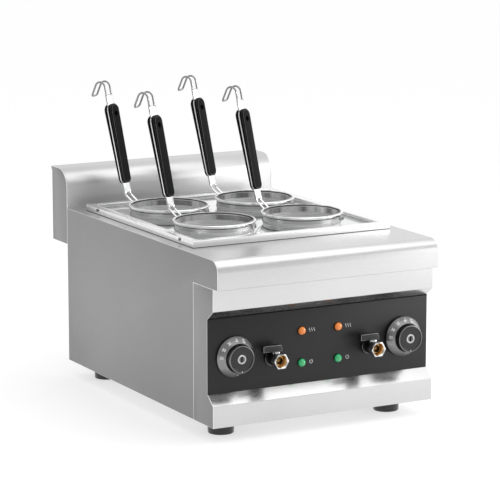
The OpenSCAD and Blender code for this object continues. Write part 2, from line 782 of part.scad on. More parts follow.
// Ball with its port across the flow, and the stem up to the lever.
module valve_ball(x) {
    on_panel(x, valve_z) translate([0, 0, stem_out]) {
        difference() {
            sphere(ball_r);
            translate([-ball_r - 1, 0, 0]) rotate([0, 90, 0]) cylinder(h = 2 * ball_r + 2, r = port_r);
        }
        translate([0, ball_r - 1.2, 0]) rotate([-90, 0, 0])
            cylinder(h = bonnet_up + lever_gap + lever_h - 2 - ball_r + 1.2, r = stem_r);
    }
}

module valve_ball_left() color([0.8, 0.8, 0.78]) valve_ball(-valve_x);

module valve_ball_right() color([0.8, 0.8, 0.78]) valve_ball(valve_x);

// Lever lying across the flow, longer to the left of the stem.
module valve_lever(x) {
    z0 = valve_z + bonnet_up + lever_gap;
    translate([x, yf + recess - stem_out, z0]) difference() {
        translate([0, lever_w / 2, 0]) rotate([90, 0, 0]) linear_extrude(lever_w) polygon([[-lever_l, 0],
            [lever_tail, 0], [lever_tail, lever_h * 0.4], [lever_tail - 2, lever_h], [-lever_l, lever_h]]);
        translate([0, 0, -1]) cylinder(h = lever_h - 1, r = stem_r);
    }
}

module valve_lever_left() color(dark) valve_lever(-valve_x);

module valve_lever_right() color(dark) valve_lever(valve_x);

// Drain pipes from the wells, with the sockets that take the valves' tails.
module drain_pipes() color(steel) for (s = [-1, 1]) {
    y0 = wall_y + tail_l;
    y1 = well_y0 - sheet;
    translate([s * valve_x, yf, valve_z]) rotate([-90, 0, 0]) difference() {
        union() {
            translate([0, 0, y0]) cylinder(h = y1 - y0, r = pipe_r);
            translate([0, 0, y0 - socket_l / 2]) cylinder(h = socket_l, r = pipe_r + 3);
        }
        translate([0, 0, y0 - eps]) cylinder(h = y1 - y0 + 1, r = pipe_r - pipe_wall);
        translate([0, 0, y0 - socket_l]) cylinder(h = socket_l, r = tail_r);
    }
}

module terminal_block() color([0.9, 0.88, 0.8])
    translate([gland_x - block_l / 2, yf + body_d - sheet - block_w - 4, body_z + sheet]) difference() {
        union() {
            cube([block_l, block_w, block_h]);
            translate([0, block_w - eps, 0]) cube([block_l, 4 + eps, block_h / 2]);
        }
        for (i = [0:4]) translate([block_l * (i + 0.5) / 5, block_w / 2, block_h - 8])
            cylinder(h = 9, r = block_l / 18);
    }

module cable_gland() color(dark)
    translate([gland_x, yf + body_d, body_z + gland_up]) rotate([-90, 0, 0]) difference() {
    union() {
        cylinder(h = 5, r = gland_r + 7, $fn = 6);
        translate([0, 0, 5 - eps]) cylinder(h = gland_l - 5 + eps, r1 = gland_r + 5, r2 = gland_r + 3);
        translate([0, 0, -sheet - 9]) cylinder(h = sheet + 9 + eps, r = gland_r + 3 - thread_gap);
        translate([0, 0, -sheet - 5]) cylinder(h = 5, r = gland_r + 7, $fn = 6);
    }
    translate([0, 0, -sheet - 10]) cylinder(h = gland_l + sheet + 11, r = gland_r);
}

// Places of the four feet on the floor.
module at_feet() {
    for (x = [-side + foot_side, side - foot_side], y = foot_ys) translate([x, yf + y, 0]) children();
}

module feet() color(dark) at_feet() difference() {
    cylinder(h = foot_h, r1 = foot_r - foot_taper, r2 = foot_r);
    translate([0, 0, -1]) cylinder(h = foot_h + 2, r = bolt_r + thread_gap);
    translate([0, 0, -1]) cylinder(h = foot_h / 3 + 1, r = 2 * bolt_r + 1);
}

// Bolts through the feet, with nuts on the base plate.
module foot_bolts() color(steel) at_feet() {
    translate([0, 0, foot_h / 3 - bolt_r]) cylinder(h = bolt_r, r = 2 * bolt_r, $fn = 6);
    translate([0, 0, foot_h / 3 - eps]) cylinder(h = foot_h * 2 / 3 + sheet + 9, r = bolt_r);
    translate([0, 0, foot_h + sheet]) cylinder(h = 5, r = 2 * bolt_r, $fn = 6);
}

// Cup: straight wall, rounded bottom, turned-out lip under the rim wire, and drain holes.
module cup(sx, sy) {
    top = rim_z + rim_wire_r;
    r = cup_r;
    lip = rim_z - rim_wire_r;
    row = (lip - drip_band - cup_z - cup_round - 2 * drip_r) / (drip_rows - 1);
    at_basket(sx, sy) difference() {
        rotate_extrude() difference() {
            union() {
                translate([0, cup_z]) square([r - cup_round, cup_round]);
                translate([0, cup_z + cup_round]) square([r, top - cup_z - cup_round]);
                translate([r - cup_round, cup_z + cup_round]) intersection() {
                    circle(cup_round);
                    translate([0, -cup_round]) square([cup_round, cup_round + 1]);
                }
                translate([r - cup_wall, lip - cup_wall]) square([cup_wall + rim_wire_r, cup_wall]);
            }
            translate([-1, cup_z + cup_wall]) square([r - cup_round + 1, cup_round]);
            translate([-1, cup_z + cup_round]) square([r - cup_wall + 1, top - cup_z]);
            translate([r - cup_round, cup_z + cup_round]) intersection() {
                circle(cup_round - cup_wall);
                translate([0, -cup_round]) square([cup_round, cup_round + 1]);
            }
        }
        for (k = [0:drip_rows - 1], i = [0:drip_round - 1])
            translate([0, 0, cup_z + cup_round + drip_r + k * row])
                rotate([0, 90, (i + k % 2 / 2) * 360 / drip_round])
                translate([0, 0, r - 4]) cylinder(h = 8, r = drip_r);
        for (n = [1, 2], i = [0:6 * n - 1]) rotate([0, 0, i * 60 / n]) translate([n * r / 3.2, 0, cup_z - 1])
            cylinder(h = cup_wall + 2, r = drip_r);
    }
}

// Rim wire and the rest lug opposite the handle.
module rim(sx, sy) {
    at_basket(sx, sy) {
        translate([0, 0, rim_z]) rotate_extrude() translate([rim_r, 0]) circle(rim_wire_r);
        rotate([0, 0, handle_turn + 180]) translate([0, -lug_w / 2, 0]) {
            translate([rim_r, 0, rim_z - lug_t / 2]) cube([rim_wire_r + lug_reach, lug_w, lug_t]);
            translate([rim_r + rim_wire_r + lug_reach - lug_t, 0, rim_z - lug_drop])
                cube([lug_t, lug_w, lug_drop + lug_t / 2]);
        }
    }
}

// Handle's own frame: +X away from the cup, +Z up along the grip, origin at the grip's lower end.
module on_handle(sx, sy) {
    at_basket(sx, sy) rotate([0, 0, handle_turn])
        translate([grip_out, 0, rim_z + grip_up]) rotate([0, lean, 0])
        children();
}

// Frame of the hook's bend: origin at its centre, +X towards the top of the free leg.
module on_hook() {
    translate([hook_r, 0, hook_z]) rotate([0, hook_turn - 180, 0]) children();
}

// Flat tang that widens between the scales, wires down to the rim, double-wire hook at the top and the
// rivet through the grip.
module handle(sx, sy) {
    w = wire_gap / 2;
    end_r = rim_r + 0.54 * wire_r + sqrt(max(0, pow(rim_wire_r + weld_gap, 2) - pow(0.84 * wire_r, 2)));
    end_s = sqrt(end_r * end_r - w * w) - grip_out;
    end_n = end_s * cos(lean) + grip_up * sin(lean);
    end_w = end_s * sin(lean) - grip_up * cos(lean);
    bend_w = -tang_low - bend_low;
    close_w = -hook_end - hook_round;
    on_handle(sx, sy) {
        translate([-tang_t / 2, 0, 0]) rotate([90, 0, 90]) linear_extrude(tang_t) {
            translate([-tang_w / 2, -tang_low]) square([tang_w, tang_low + grip_l + tang_high]);
            round_rect(tang_step - grip_w / 2, grip_w / 2 - tang_step, tang_step, grip_l - tang_step,
                grip_round - tang_step);
        }
        for (s = [-1, 1]) translate([0, s * w, 0]) {
            rod([0, 0, bend_w], [0, 0, weld_l - tang_low], wire_r);
            translate([0, 0, bend_w]) sphere(wire_r + weld_sink);
            rod([0, 0, bend_w], [end_n, 0, end_w], wire_r);
            rod([0, 0, grip_l + tang_high - weld_l], [0, 0, hook_z + join_in], wire_r - join_step);
            on_hook() {
                rotate([90, 0, 0]) rotate_extrude(angle = hook_turn) translate([hook_r, 0]) circle(wire_r);
                rod([hook_r, 0, -hook_end], [hook_r, 0, 0], wire_r);
                translate([hook_r, -s * hook_round, -hook_end])
                    rotate([0, 90, 0]) rotate([0, 0, s > 0 ? 0 : 270])
                    rotate_extrude(angle = 90) translate([hook_round, 0]) circle(wire_r);
            }
        }
        on_hook() rod([hook_r, hook_round - w - join_in, close_w],
            [hook_r, w - hook_round + join_in, close_w], wire_r - join_step);
        translate([-rivet_h, 0, grip_l - rivet_in]) rotate([0, 90, 0])
            cylinder(h = 2 * rivet_h, r = rivet_r);
    }
}

// Two grip scales, one on each face of the tang.
module grip(sx, sy) {
    out = max(scale_t, scale_low) + 1;
    on_handle(sx, sy) difference() {
        for (m = [0, 1]) mirror([m, 0, 0]) translate([tang_t / 2, 0, 0]) difference() {
            rotate([90, 0, 90]) linear_extrude(out)
                round_rect(-grip_w / 2, grip_w / 2, 0, grip_l, grip_round);
            translate([0, grip_w, 0]) rotate([90, 0, 0]) linear_extrude(2 * grip_w)
                polygon([[scale_low - scale_rise, -1], [scale_t + scale_rise, grip_l + 1],
                    [out + 1, grip_l + 1], [out + 1, -1]]);
        }
        translate([-out - tang_t, 0, grip_l - rivet_in]) rotate([0, 90, 0])
            cylinder(h = 2 * out + 2 * tang_t, r = rivet_r);
    }
}

module front_left_cup() color(steel) cup(-1, -1);

module front_left_rim() color(steel) rim(-1, -1);

module front_left_handle() color(steel) handle(-1, -1);

module front_left_grip() color(dark) grip(-1, -1);

module front_right_cup() color(steel) cup(1, -1);

module front_right_rim() color(steel) rim(1, -1);

module front_right_handle() color(steel) handle(1, -1);

module front_right_grip() color(dark) grip(1, -1);

module back_left_cup() color(steel) cup(-1, 1);

module back_left_rim() color(steel) rim(-1, 1);

module back_left_handle() color(steel) handle(-1, 1);

module back_left_grip() color(dark) grip(-1, 1);

module back_right_cup() color(steel) cup(1, 1);

module back_right_rim() color(steel) rim(1, 1);

module back_right_handle() color(steel) handle(1, 1);

module back_right_grip() color(dark) grip(1, 1);

left_side_panel();
right_side_panel();
top_cover();
front_fascia();
control_panel();
back_panel();
base_plate();
splashback();
splashback_ends();
tray_frame();
basket_plate();
frame_screws();
well_left();
well_right();
false_bottom_left();
false_bottom_right();
element_left();
element_right();
thermostat_left();
thermostat_right();
thermostat_bulbs();
dial_ring_left();
dial_ring_right();
knob_left();
knob_right();
spindle_left();
spindle_right();
lamp_lenses_heat();
lamp_lenses_power();
lamp_bodies();
valve_body_left();
valve_body_right();
valve_nuts();
valve_ball_left();
valve_ball_right();
valve_lever_left();
valve_lever_right();
drain_pipes();
terminal_block();
cable_gland();
feet();
foot_bolts();
front_left_cup();
front_left_rim();
front_left_handle();
front_left_grip();
front_right_cup();
front_right_rim();
front_right_handle();
front_right_grip();
back_left_cup();
back_left_rim();
back_left_handle();
back_left_grip();
back_right_cup();
back_right_rim();
back_right_handle();
back_right_grip();
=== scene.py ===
"""Finished pieces, materials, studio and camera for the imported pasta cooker."""

import math

import bmesh
import bpy
from bpy.props import FloatProperty, FloatVectorProperty, IntProperty, PointerProperty
from mathutils import Matrix, Vector


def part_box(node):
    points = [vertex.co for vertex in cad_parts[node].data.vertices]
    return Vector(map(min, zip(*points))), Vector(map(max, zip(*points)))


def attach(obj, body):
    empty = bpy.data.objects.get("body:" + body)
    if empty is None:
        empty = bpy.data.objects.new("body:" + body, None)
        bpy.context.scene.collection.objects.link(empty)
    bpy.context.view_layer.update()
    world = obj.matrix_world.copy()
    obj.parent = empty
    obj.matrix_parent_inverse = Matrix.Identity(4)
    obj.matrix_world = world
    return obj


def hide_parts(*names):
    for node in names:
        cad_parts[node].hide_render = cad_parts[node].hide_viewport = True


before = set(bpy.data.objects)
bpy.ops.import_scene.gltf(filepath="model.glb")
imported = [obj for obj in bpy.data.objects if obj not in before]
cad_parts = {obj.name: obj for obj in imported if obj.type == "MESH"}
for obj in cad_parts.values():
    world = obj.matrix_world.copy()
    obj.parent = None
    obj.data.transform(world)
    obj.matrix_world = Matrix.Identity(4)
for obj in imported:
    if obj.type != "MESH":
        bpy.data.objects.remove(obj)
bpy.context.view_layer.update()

bl_info = {
    "name": "Pasta Cooker",
    "version": (1, 0, 0),
    "blender": (4, 5, 0),
    "location": "3D View > Sidebar > Cooker",
    "description": "Dresses the packed pasta cooker with finished pieces, materials and a studio",
    "category": "Object",
}

MM = 0.001


def mm(*values):
    """Millimetres as metres."""
    return [value * MM for value in values]


X, Y, Z = 0, 1, 2
BASKETS = ("front_left", "front_right", "back_left", "back_right")
SIDES = ("left", "right")
LENS_COLOURS = {"heat": "orange", "power": "green"}


def corners(node):
    """Low and high corner of a CAD node's box."""
    return [Vector(corner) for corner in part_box(node)]


def middle(node):
    """Centre of a CAD node's box."""
    low, high = corners(node)
    return (low + high) / 2


# Levels and planes that the pieces share, read from the frame.
(inner_x, _, _), (SIDE_X, _, _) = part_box("right_side_panel")
(_, NOSE_Y, COVER_Z), (_, BACK_Y, TOP_Z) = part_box("top_cover")
(_, FASCIA_Y, BODY_Z), (_, SEAM_Y, _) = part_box("front_fascia")
(_, PANEL_Y, PANEL_Z0), (_, PANEL_BACK_Y, PANEL_Z1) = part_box("control_panel")
(cup_left, _, CUP_FLOOR_Z), (cup_right, _, CUP_TOP_Z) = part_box("front_left_cup")
SHEET = SIDE_X - inner_x
SIDE_STARTS = (-SIDE_X, inner_x)

# A basket's cup and rim wire, about the basket's axis.
CUP_WALL, CUP_ROUNDING, RIM_WIRE = mm(1, 10, 2)
RIM_R = (cup_right - cup_left) / 2
CUP_R = RIM_R - RIM_WIRE
RIM_Z = CUP_TOP_Z - RIM_WIRE
LIP_Z = CUP_TOP_Z - 2 * RIM_WIRE

# Print and symbols stand this far off their face.
PRINT_LIFT = 0.06 * MM


def shifted(x, y, z):
    """Matrix that shifts."""
    return Matrix.Translation((x, y, z))


def turned(degrees, axis):
    """Matrix that turns about an axis."""
    return Matrix.Rotation(math.radians(degrees), 4, axis)


def turns(count, start=0.0):
    """Matrices of even turns about Z; the start is a share of one step."""
    return [turned((i + start) * 360 / count, "Z") for i in range(count)]


def across(x):
    """Matrix that stands up a profile drawn in depth and height, its thickness along X from a start."""
    return shifted(x, 0, 0) @ Matrix(((0, 0, 1, 0), (1, 0, 0, 0), (0, 1, 0, 0), (0, 0, 0, 1)))


def on_panel(x, z):
    """Frame on the control panel's face, with local +Z towards the user."""
    return shifted(x, PANEL_Y, z) @ turned(90, "X")


# Settings


def length(name, description, millimetres):
    """Length that a user can change."""
    return FloatProperty(name=name, description=description, default=millimetres * MM, unit="LENGTH")


def shade(name, description, value):
    """Colour that a user can change."""
    return FloatVectorProperty(name=name, description=description, default=value, subtype="COLOR")


class CookerSizes(bpy.types.PropertyGroup):
    """Sizes of the finished pieces."""

    nose_radius: length("Nose radius", "Radius of the top cover's front edge", 20)
    splash_radius: length("Splashback radius", "Radius of the splashback's front top edge", 32)
    fold_radius: length("Fold radius", "Radius of the casing's folds, above its sheet's thickness", 1.4)
    edge: length("Edge", "Softening of sheet edges", 0.7)
    lower_band: length("Lower band", "Height of the band below the control recess", 34.5)
    upper_slope: length("Upper slope", "Height of the slope above the control panel", 14)
    wire: length("Handle wire", "Radius of the handle wires", 1.6)
    grip_bevel: length("Grip bevel", "Bevel of the grip scales' broad faces", 2.2)
    collar: length("Cup collar", "Height of a basket's plain collar above its mesh", 12.5)
    mesh_pitch: length("Mesh pitch", "Distance between the fine holes of a basket", 3.1)
    drip_radius: length("Drain hole", "Radius of the drain holes in a basket", 4)
    drip_round: IntProperty(
        name="Drain holes round", description="Drain holes round a basket", default=18, min=8, max=36
    )


class CookerColours(bpy.types.PropertyGroup):
    """Colours of the finishes."""

    casing: shade("Casing steel", "Satin stainless sheet", (0.61, 0.61, 0.61))
    # The sides' steel is the casing's steel painted darker: painted shade on the sides turned from the
    # light.
    flank_shade: shade("Side steel", "Darker satin sheet of the sides", (0.29, 0.29, 0.291))
    polished: shade("Polished steel", "Basket plate", (0.74, 0.745, 0.75))
    panel: shade("Panel", "Black control panel", (0.0155, 0.0155, 0.016))
    plastic: shade("Plastic", "Knobs and levers", (0.01, 0.01, 0.011))
    grip: shade("Grip", "Basket grips", (0.004, 0.004, 0.0045))
    rubber: shade("Foot", "Dark feet", (0.014, 0.014, 0.015))
    heat: shade("Heat lens", "Orange lamp lens", (0.93, 0.26, 0.035))
    power: shade("Power lens", "Green lamp lens", (0.02, 0.46, 0.15))
    brass: shade("Brass", "Bore of the drain outlets", (0.66, 0.42, 0.16))
    mark: shade("Print", "White marks", (0.94, 0.94, 0.94))


def sizes():
    """The scene's sizes."""
    return bpy.context.scene.cooker_sizes


def colours():
    """The scene's colours."""
    return bpy.context.scene.cooker_colours


# Materials

MATERIALS = {}
WRAP = "wrap"
NOISE_SPAN = (0.3, 0.7)


def set_sockets(node, values):
    """Sets a node's sockets by name."""
    for name, value in values.items():
        node.inputs[name].default_value = value


def base_shader(name, colour, metallic, roughness):
    """Material with a Principled shader: (material, node tree, shader)."""
    made = bpy.data.materials.new(name)
    made.use_nodes = True
    shader = made.node_tree.nodes["Principled BSDF"]
    set_sockets(shader, {"Base Color": (*colour, 1), "Metallic": metallic, "Roughness": roughness})
    return made, made.node_tree, shader


def pattern(tree, stretch, scale, detail):
    """Noise on Object coordinates, stretched per axis."""
    place = tree.nodes.new("ShaderNodeTexCoord")
    mapping = tree.nodes.new("ShaderNodeMapping")
    noise = tree.nodes.new("ShaderNodeTexNoise")
    set_sockets(mapping, {"Scale": stretch})
    set_sockets(noise, {"Scale": scale, "Detail": detail})
    tree.links.new(place.outputs["Object"], mapping.inputs["Vector"])
    tree.links.new(mapping.outputs["Vector"], noise.inputs["Vector"])
    return noise.outputs["Fac"]


def ranged(tree, source, start, end, low, high):
    """Maps a span of a value onto a range."""
    node = tree.nodes.new("ShaderNodeMapRange")
    set_sockets(node, {"From Min": start, "From Max": end, "To Min": low, "To Max": high})
    tree.links.new(source, node.inputs["Value"])
    return node.outputs["Result"]


def combined(tree, operation, first, second):
    """Result of a Math node on a socket and another socket or a number."""
    node = tree.nodes.new("ShaderNodeMath")
    node.operation = operation
    tree.links.new(first, node.inputs[0])
    if isinstance(second, float):
        node.inputs[1].default_value = second
    else:
        tree.links.new(second, node.inputs[1])
    return node.outputs["Value"]


def vary_roughness(tree, shader, source, low, high):
    """Roughness that follows a noise value through a range."""
    tree.links.new(ranged(tree, source, *NOISE_SPAN, low, high), shader.inputs["Roughness"])


def vary_colour(tree, shader, source, colour, change, span=NOISE_SPAN):
    """Colour that gets darker and lighter by a share as a noise value goes through a span."""
    ramp = tree.nodes.new("ShaderNodeValToRGB")
    for stop, place, factor in zip(ramp.color_ramp.elements, span, (1 - change, 1 + change)):
        stop.position = place
        stop.color = (*[min(1, part * factor) for part in colour], 1)
    tree.links.new(source, ramp.inputs["Fac"])
    tree.links.new(ramp.outputs["Color"], shader.inputs["Base Color"])


def relief(tree, shader, source, strength, depth):
    """Bump from a pattern's value."""
    bump = tree.nodes.new("ShaderNodeBump")
    set_sockets(bump, {"Strength": strength, "Distance": depth})
    tree.links.new(source, bump.inputs["Height"])
    tree.links.new(bump.outputs["Normal"], shader.inputs["Normal"])


def brushed_steel(name, colour, grain, rough):
    """Brushed stainless steel, with its grain along one axis."""
    made, tree, shader = base_shader(name, colour, 1.0, rough)
    lines = pattern(tree, [1.0 if axis == grain else 60.0 for axis in (X, Y, Z)], 70.0, 3.0)
    clouds = pattern(tree, (1, 1, 1), 7.0, 2.0)
    vary_roughness(tree, shader, lines, rough - 0.05, rough + 0.06)
    vary_colour(tree, shader, clouds, colour, 0.025)
    relief(tree, shader, lines, 0.02, 0.2 * MM)
    return made


def polished_metal(name, colour, rough):
    """Polished metal with faint wipe marks."""
    made, tree, shader = base_shader(name, colour, 1.0, rough)
    wipes = pattern(tree, (1, 3, 3), 30.0, 5.0)
    vary_roughness(tree, shader, wipes, rough * 0.7, rough * 1.5)
    vary_colour(tree, shader, wipes, colour, 0.02)
    return made


def painted_reflection_streaks(name, colour, rough):
    """Polished wall with upright streaks: its base colour swings darker and lighter in upright bands, a
    painted reflection.
    """
    made, tree, shader = base_shader(name, colour, 1.0, rough)
    painted_streaks = pattern(tree, (1, 1, 0.02), 34.0, 2.0)
    vary_roughness(tree, shader, painted_streaks, rough * 0.8, rough * 1.4)
    # The strong colour swing paints the streaks of reflected light.
    vary_colour(tree, shader, painted_streaks, colour, 0.55, (0.42, 0.58))
    return made


def perforated(name, colour, pitch):
    """Finely perforated sheet, laid out on the shape's own UV map in millimetres."""
    made, tree, shader = base_shader(name, colour, 0.3, 0.42)
    place = tree.nodes.new("ShaderNodeUVMap")
    place.uv_map = WRAP
    step = pitch / MM
    holes = tree.nodes.new("ShaderNodeTexBrick")
    set_sockets(holes, {"Scale": 1.0, "Brick Width": step, "Row Height": step * 0.87})
    set_sockets(holes, {"Mortar Size": 0.2 * step, "Mortar Smooth": 0.3})
    tree.links.new(place.outputs["UV"], holes.inputs["Vector"])
    sheet = tree.nodes.new("ShaderNodeValToRGB")
    sheet.color_ramp.elements[0].color = (0.52, 0.52, 0.522, 1)
    sheet.color_ramp.elements[1].color = (*colour, 1)
    tree.links.new(holes.outputs["Fac"], sheet.inputs["Fac"])
    tree.links.new(sheet.outputs["Color"], shader.inputs["Base Color"])
    relief(tree, shader, holes.outputs["Fac"], 0.5, 0.6 * MM)
    return made


def moulded(name, colour, rough, grain, coat=0.0, gloss=0.5):
    """Moulded plastic, paint or rubber with a fine skin."""
    made, tree, shader = base_shader(name, colour, 0.0, rough)
    set_sockets(shader, {"Specular IOR Level": gloss, "Coat Weight": coat, "Coat Roughness": 0.08})
    skin = pattern(tree, (1, 1, 1), grain, 3.0)
    vary_roughness(tree, shader, skin, rough - 0.05, rough + 0.07)
    vary_colour(tree, shader, skin, colour, 0.08)
    relief(tree, shader, skin, 0.06, 0.1 * MM)
    return made


def lens_plastic(name, colour):
    """Clear-coated lamp lens with a slight glow from inside."""
    made, tree, shader = base_shader(name, colour, 0.0, 0.16)
    vary_colour(tree, shader, pattern(tree, (1, 1, 1), 160.0, 2.0), colour, 0.12)
    set_sockets(shader, {"Coat Weight": 1.0, "Coat Roughness": 0.05})
    set_sockets(shader, {"Emission Color": (*colour, 1), "Emission Strength": 0.22})
    set_sockets(shader, {"Subsurface Weight": 0.25, "Subsurface Radius": (4 * MM, 3 * MM, 2 * MM)})
    return made


def finish_rules():
    """How each finish is made: its maker and the values that follow the name."""
    paint = colours()
    return {
        "steel_across": (brushed_steel, paint.casing, X, 0.31),
        "fascia": (brushed_steel, paint.casing, X, 0.23),
        "splash": (brushed_steel, paint.casing, X, 0.4),
        # steel_along takes the darker side colour: painted shade on the sides.
        "steel_along": (brushed_steel, paint.flank_shade, Y, 0.36),
        # Pale steel on the sheets' softened edges: a painted highlight along edges and seams.
        "cut_edge": (brushed_steel, (0.88, 0.88, 0.88), Z, 0.3),
        "border": (brushed_steel, (0.9, 0.9, 0.9), Y, 0.26),
        "cup_outside": (brushed_steel, (0.6, 0.6, 0.602), Z, 0.34),
        "dark_steel": (brushed_steel, (0.2, 0.2, 0.205), X, 0.35),
        "cup_inside": (painted_reflection_streaks, (0.74, 0.74, 0.742), 0.2),
        "mesh": (perforated, (0.92, 0.92, 0.925), sizes().mesh_pitch),
        "polished": (polished_metal, paint.polished, 0.07),
        "wire": (polished_metal, (0.86, 0.86, 0.862), 0.1),
        # A darker, rougher copy of the wire steel for the hook wires: painted shade.
        "hook": (polished_metal, (0.34, 0.34, 0.344), 0.34),
        "tang": (polished_metal, (0.88, 0.88, 0.885), 0.28),
        "chrome": (polished_metal, (0.75, 0.75, 0.76), 0.1),
        # Dark polished metal: the caps' dished centres, painted shade on the cups' lines and the tangs'
        # edges, and a painted reflection of the black panel on the valve bodies.
        "gun": (polished_metal, (0.1, 0.1, 0.105), 0.16),
        "cap": (polished_metal, (0.5, 0.5, 0.505), 0.3),
        "scale": (polished_metal, (0.27, 0.27, 0.273), 0.34),
        # Dark grey polished metal on the knobs' rims and the levers' bevels: a painted highlight.
        "edge": (polished_metal, (0.22, 0.22, 0.222), 0.3),
        "brass": (polished_metal, paint.brass, 0.25),
        # The brass painted darker for the valve balls: painted shade inside the bore.
        "bronze": (polished_metal, (0.24, 0.15, 0.06), 0.3),
        "copper": (polished_metal, (0.72, 0.42, 0.28), 0.25),
        "panel": (moulded, paint.panel, 0.42, 900.0, 0.0, 0.36),
        "plastic": (moulded, paint.plastic, 0.3, 700.0),
        "grip": (moulded, paint.grip, 0.34, 700.0, 0.0, 0.04),
        "rubber": (moulded, paint.rubber, 0.16, 400.0, 0.4),
        "pale": (moulded, (0.75, 0.73, 0.68), 0.45, 500.0),
        "mark": (moulded, paint.mark, 0.5, 500.0),
        # Near-black matte: painted shade in the panel's top strip, under the tray border, in the rivet holes
        # and cap slots, and at the lens walls, which are also a dark bezel.
        "dark": (moulded, (0.002, 0.002, 0.002), 0.6, 500.0, 0.0, 0.0),
        "heat": (lens_plastic, paint.heat),
        "power": (lens_plastic, paint.power),
    }


def finish(name):
    """The finish of that name, made once."""
    if name not in MATERIALS:
        maker, *values = finish_rules()[name]
        MATERIALS[name] = maker(name, *values)
    return MATERIALS[name]


# Shapes


def tidy(bm):
    """Merges doubles and turns the faces outwards."""
    bmesh.ops.remove_doubles(bm, verts=bm.verts[:], dist=1e-7)
    bmesh.ops.recalc_face_normals(bm, faces=bm.faces[:])
    return bm


def moved(bm, matrix):
    """Moves a whole shape by a matrix."""
    bmesh.ops.transform(bm, matrix=matrix, verts=bm.verts[:])
    return bm


def verts_of(made):
    """The vertices among the results of a bmesh operator."""
    return [item for item in made["geom"] if isinstance(item, bmesh.types.BMVert)]


def bevel(bm, geom, width, segments, affect="EDGES", slot=-1):
    """Round bevel on edges or corners."""
    bmesh.ops.bevel(
        bm, geom=geom, offset=width, offset_type="OFFSET", segments=segments, profile=0.5,
        affect=affect, clamp_overlap=True, material=slot,
    )


def soften(bm, width, angle=25.0, segments=2, slot=-1):
    """Bevels the edges that turn by more than an angle; the bevels can have a material slot of their own."""
    limit = math.radians(angle)
    edges = [e for e in bm.edges if len(e.link_faces) == 2 and e.calc_face_angle(0) > limit]
    bevel(bm, edges, width, segments, slot=slot)
    return bm


def lathe(outline, steps):
    """Solid turned about Z from an outline of (radius, height) points in metres."""
    bm = bmesh.new()
    verts = [bm.verts.new((radius, 0, height)) for radius, height in outline]
    edges = [bm.edges.new(pair) for pair in zip(verts, verts[1:])]
    if outline[0][0] > 0 or outline[-1][0] > 0:
        edges.append(bm.edges.new((verts[-1], verts[0])))
    whole = 2 * math.pi
    bmesh.ops.spin(
        bm, geom=verts + edges, cent=(0, 0, 0), axis=(0, 0, 1), angle=whole, steps=steps, use_merge=True
    )
    return tidy(bm)


def plate(outline, thickness, rounds=None, segments=8):
    """Flat plate drawn up along Z from an XY outline; rounds maps a radius to the corners it rounds."""
    bm = bmesh.new()
    verts = [bm.verts.new((x, y, 0)) for x, y in outline]
    bm.faces.new(verts)
    for radius, rounded in (rounds or {}).items():
        bevel(bm, [verts[i] for i in rounded], radius, segments, "VERTICES")
    lifted = verts_of(bmesh.ops.extrude_face_region(bm, geom=bm.faces[:]))
    bmesh.ops.translate(bm, verts=lifted, vec=(0, 0, thickness))
    return tidy(bm)


def block(low, high):
    """Box from corner to corner."""
    low, high = Vector(low), Vector(high)
    bm = bmesh.new()
    stretch = Matrix.Diagonal((*(high - low), 1))
    bmesh.ops.create_cube(bm, size=1, matrix=Matrix.Translation((low + high) / 2) @ stretch)
    return bm


def pin(bm, radius, depth, matrix, segments):
    """Adds a straight pin about a matrix's Z axis, centred on its origin."""
    bmesh.ops.create_cone(
        bm, cap_ends=True, segments=segments, radius1=radius, radius2=radius, depth=depth, matrix=matrix
    )


def folded(chain, bends, half_width, segments):
    """Sheet folded along X from a chain of (depth, height) points; bends maps a point to its radius.

    The sheet's outer face is on the left of the chain, seen along +X."""
    points = [Vector(point) for point in chain]
    bm = bmesh.new()
    verts = [bm.verts.new((-half_width, y, z)) for y, z in chain]
    edges = [bm.edges.new(pair) for pair in zip(verts, verts[1:])]
    far = verts_of(bmesh.ops.extrude_edge_only(bm, edges=edges))
    bmesh.ops.translate(bm, verts=far, vec=(2 * half_width, 0, 0))
    creases = {}
    for index in bends:
        joined = verts[index].link_edges
        creases[index] = next(e for e in joined if abs(e.verts[0].co.x - e.verts[1].co.x) > MM)
    for index, radius in bends.items():
        turn = (points[index] - points[index - 1]).angle(points[index + 1] - points[index])
        bevel(bm, [creases[index]], radius * math.tan(turn / 2), segments)
    bmesh.ops.recalc_face_normals(bm, faces=bm.faces[:])
    first = (points[1] - points[0]).normalized()
    outward = Vector((0, first.y, -first.x))
    half_way = (points[0] + points[1]) / 2
    start = min(bm.faces, key=lambda face: (face.calc_center_median().yz - half_way).length)
    if start.normal.dot(outward) < 0:
        bmesh.ops.reverse_faces(bm, faces=bm.faces[:])
    bmesh.ops.solidify(bm, geom=bm.faces[:], thickness=SHEET)
    bmesh.ops.recalc_face_normals(bm, faces=bm.faces[:])
    return bm


def swept(path, wire, sides=12):
    """Round wire along a path of points, closed at both ends."""
    path = [Vector(point) for point in path]
    bm = bmesh.new()
    way = (path[1] - path[0]).normalized()
    start = Matrix.Translation(path[0]) @ way.to_track_quat("Z", "Y").to_matrix().to_4x4()
    bmesh.ops.create_circle(bm, cap_ends=True, radius=wire, segments=sides, matrix=start)
    edges = bm.edges[:]
    for i in range(1, len(path)):
        onward = (path[i + 1] - path[i]).normalized() if i + 1 < len(path) else way
        made = bmesh.ops.extrude_edge_only(bm, edges=edges)
        verts = verts_of(made)
        new_edges = [item for item in made["geom"] if isinstance(item, bmesh.types.BMEdge)]
        edges = [edge for edge in new_edges if edge.verts[0] in verts and edge.verts[1] in verts]
        bmesh.ops.translate(bm, verts=verts, vec=path[i] - path[i - 1])
        swing = way.rotation_difference(onward)
        bmesh.ops.rotate(bm, verts=verts, cent=path[i], matrix=swing.to_matrix())
        way = onward
    bmesh.ops.edgenet_fill(bm, edges=edges)
    return tidy(bm)


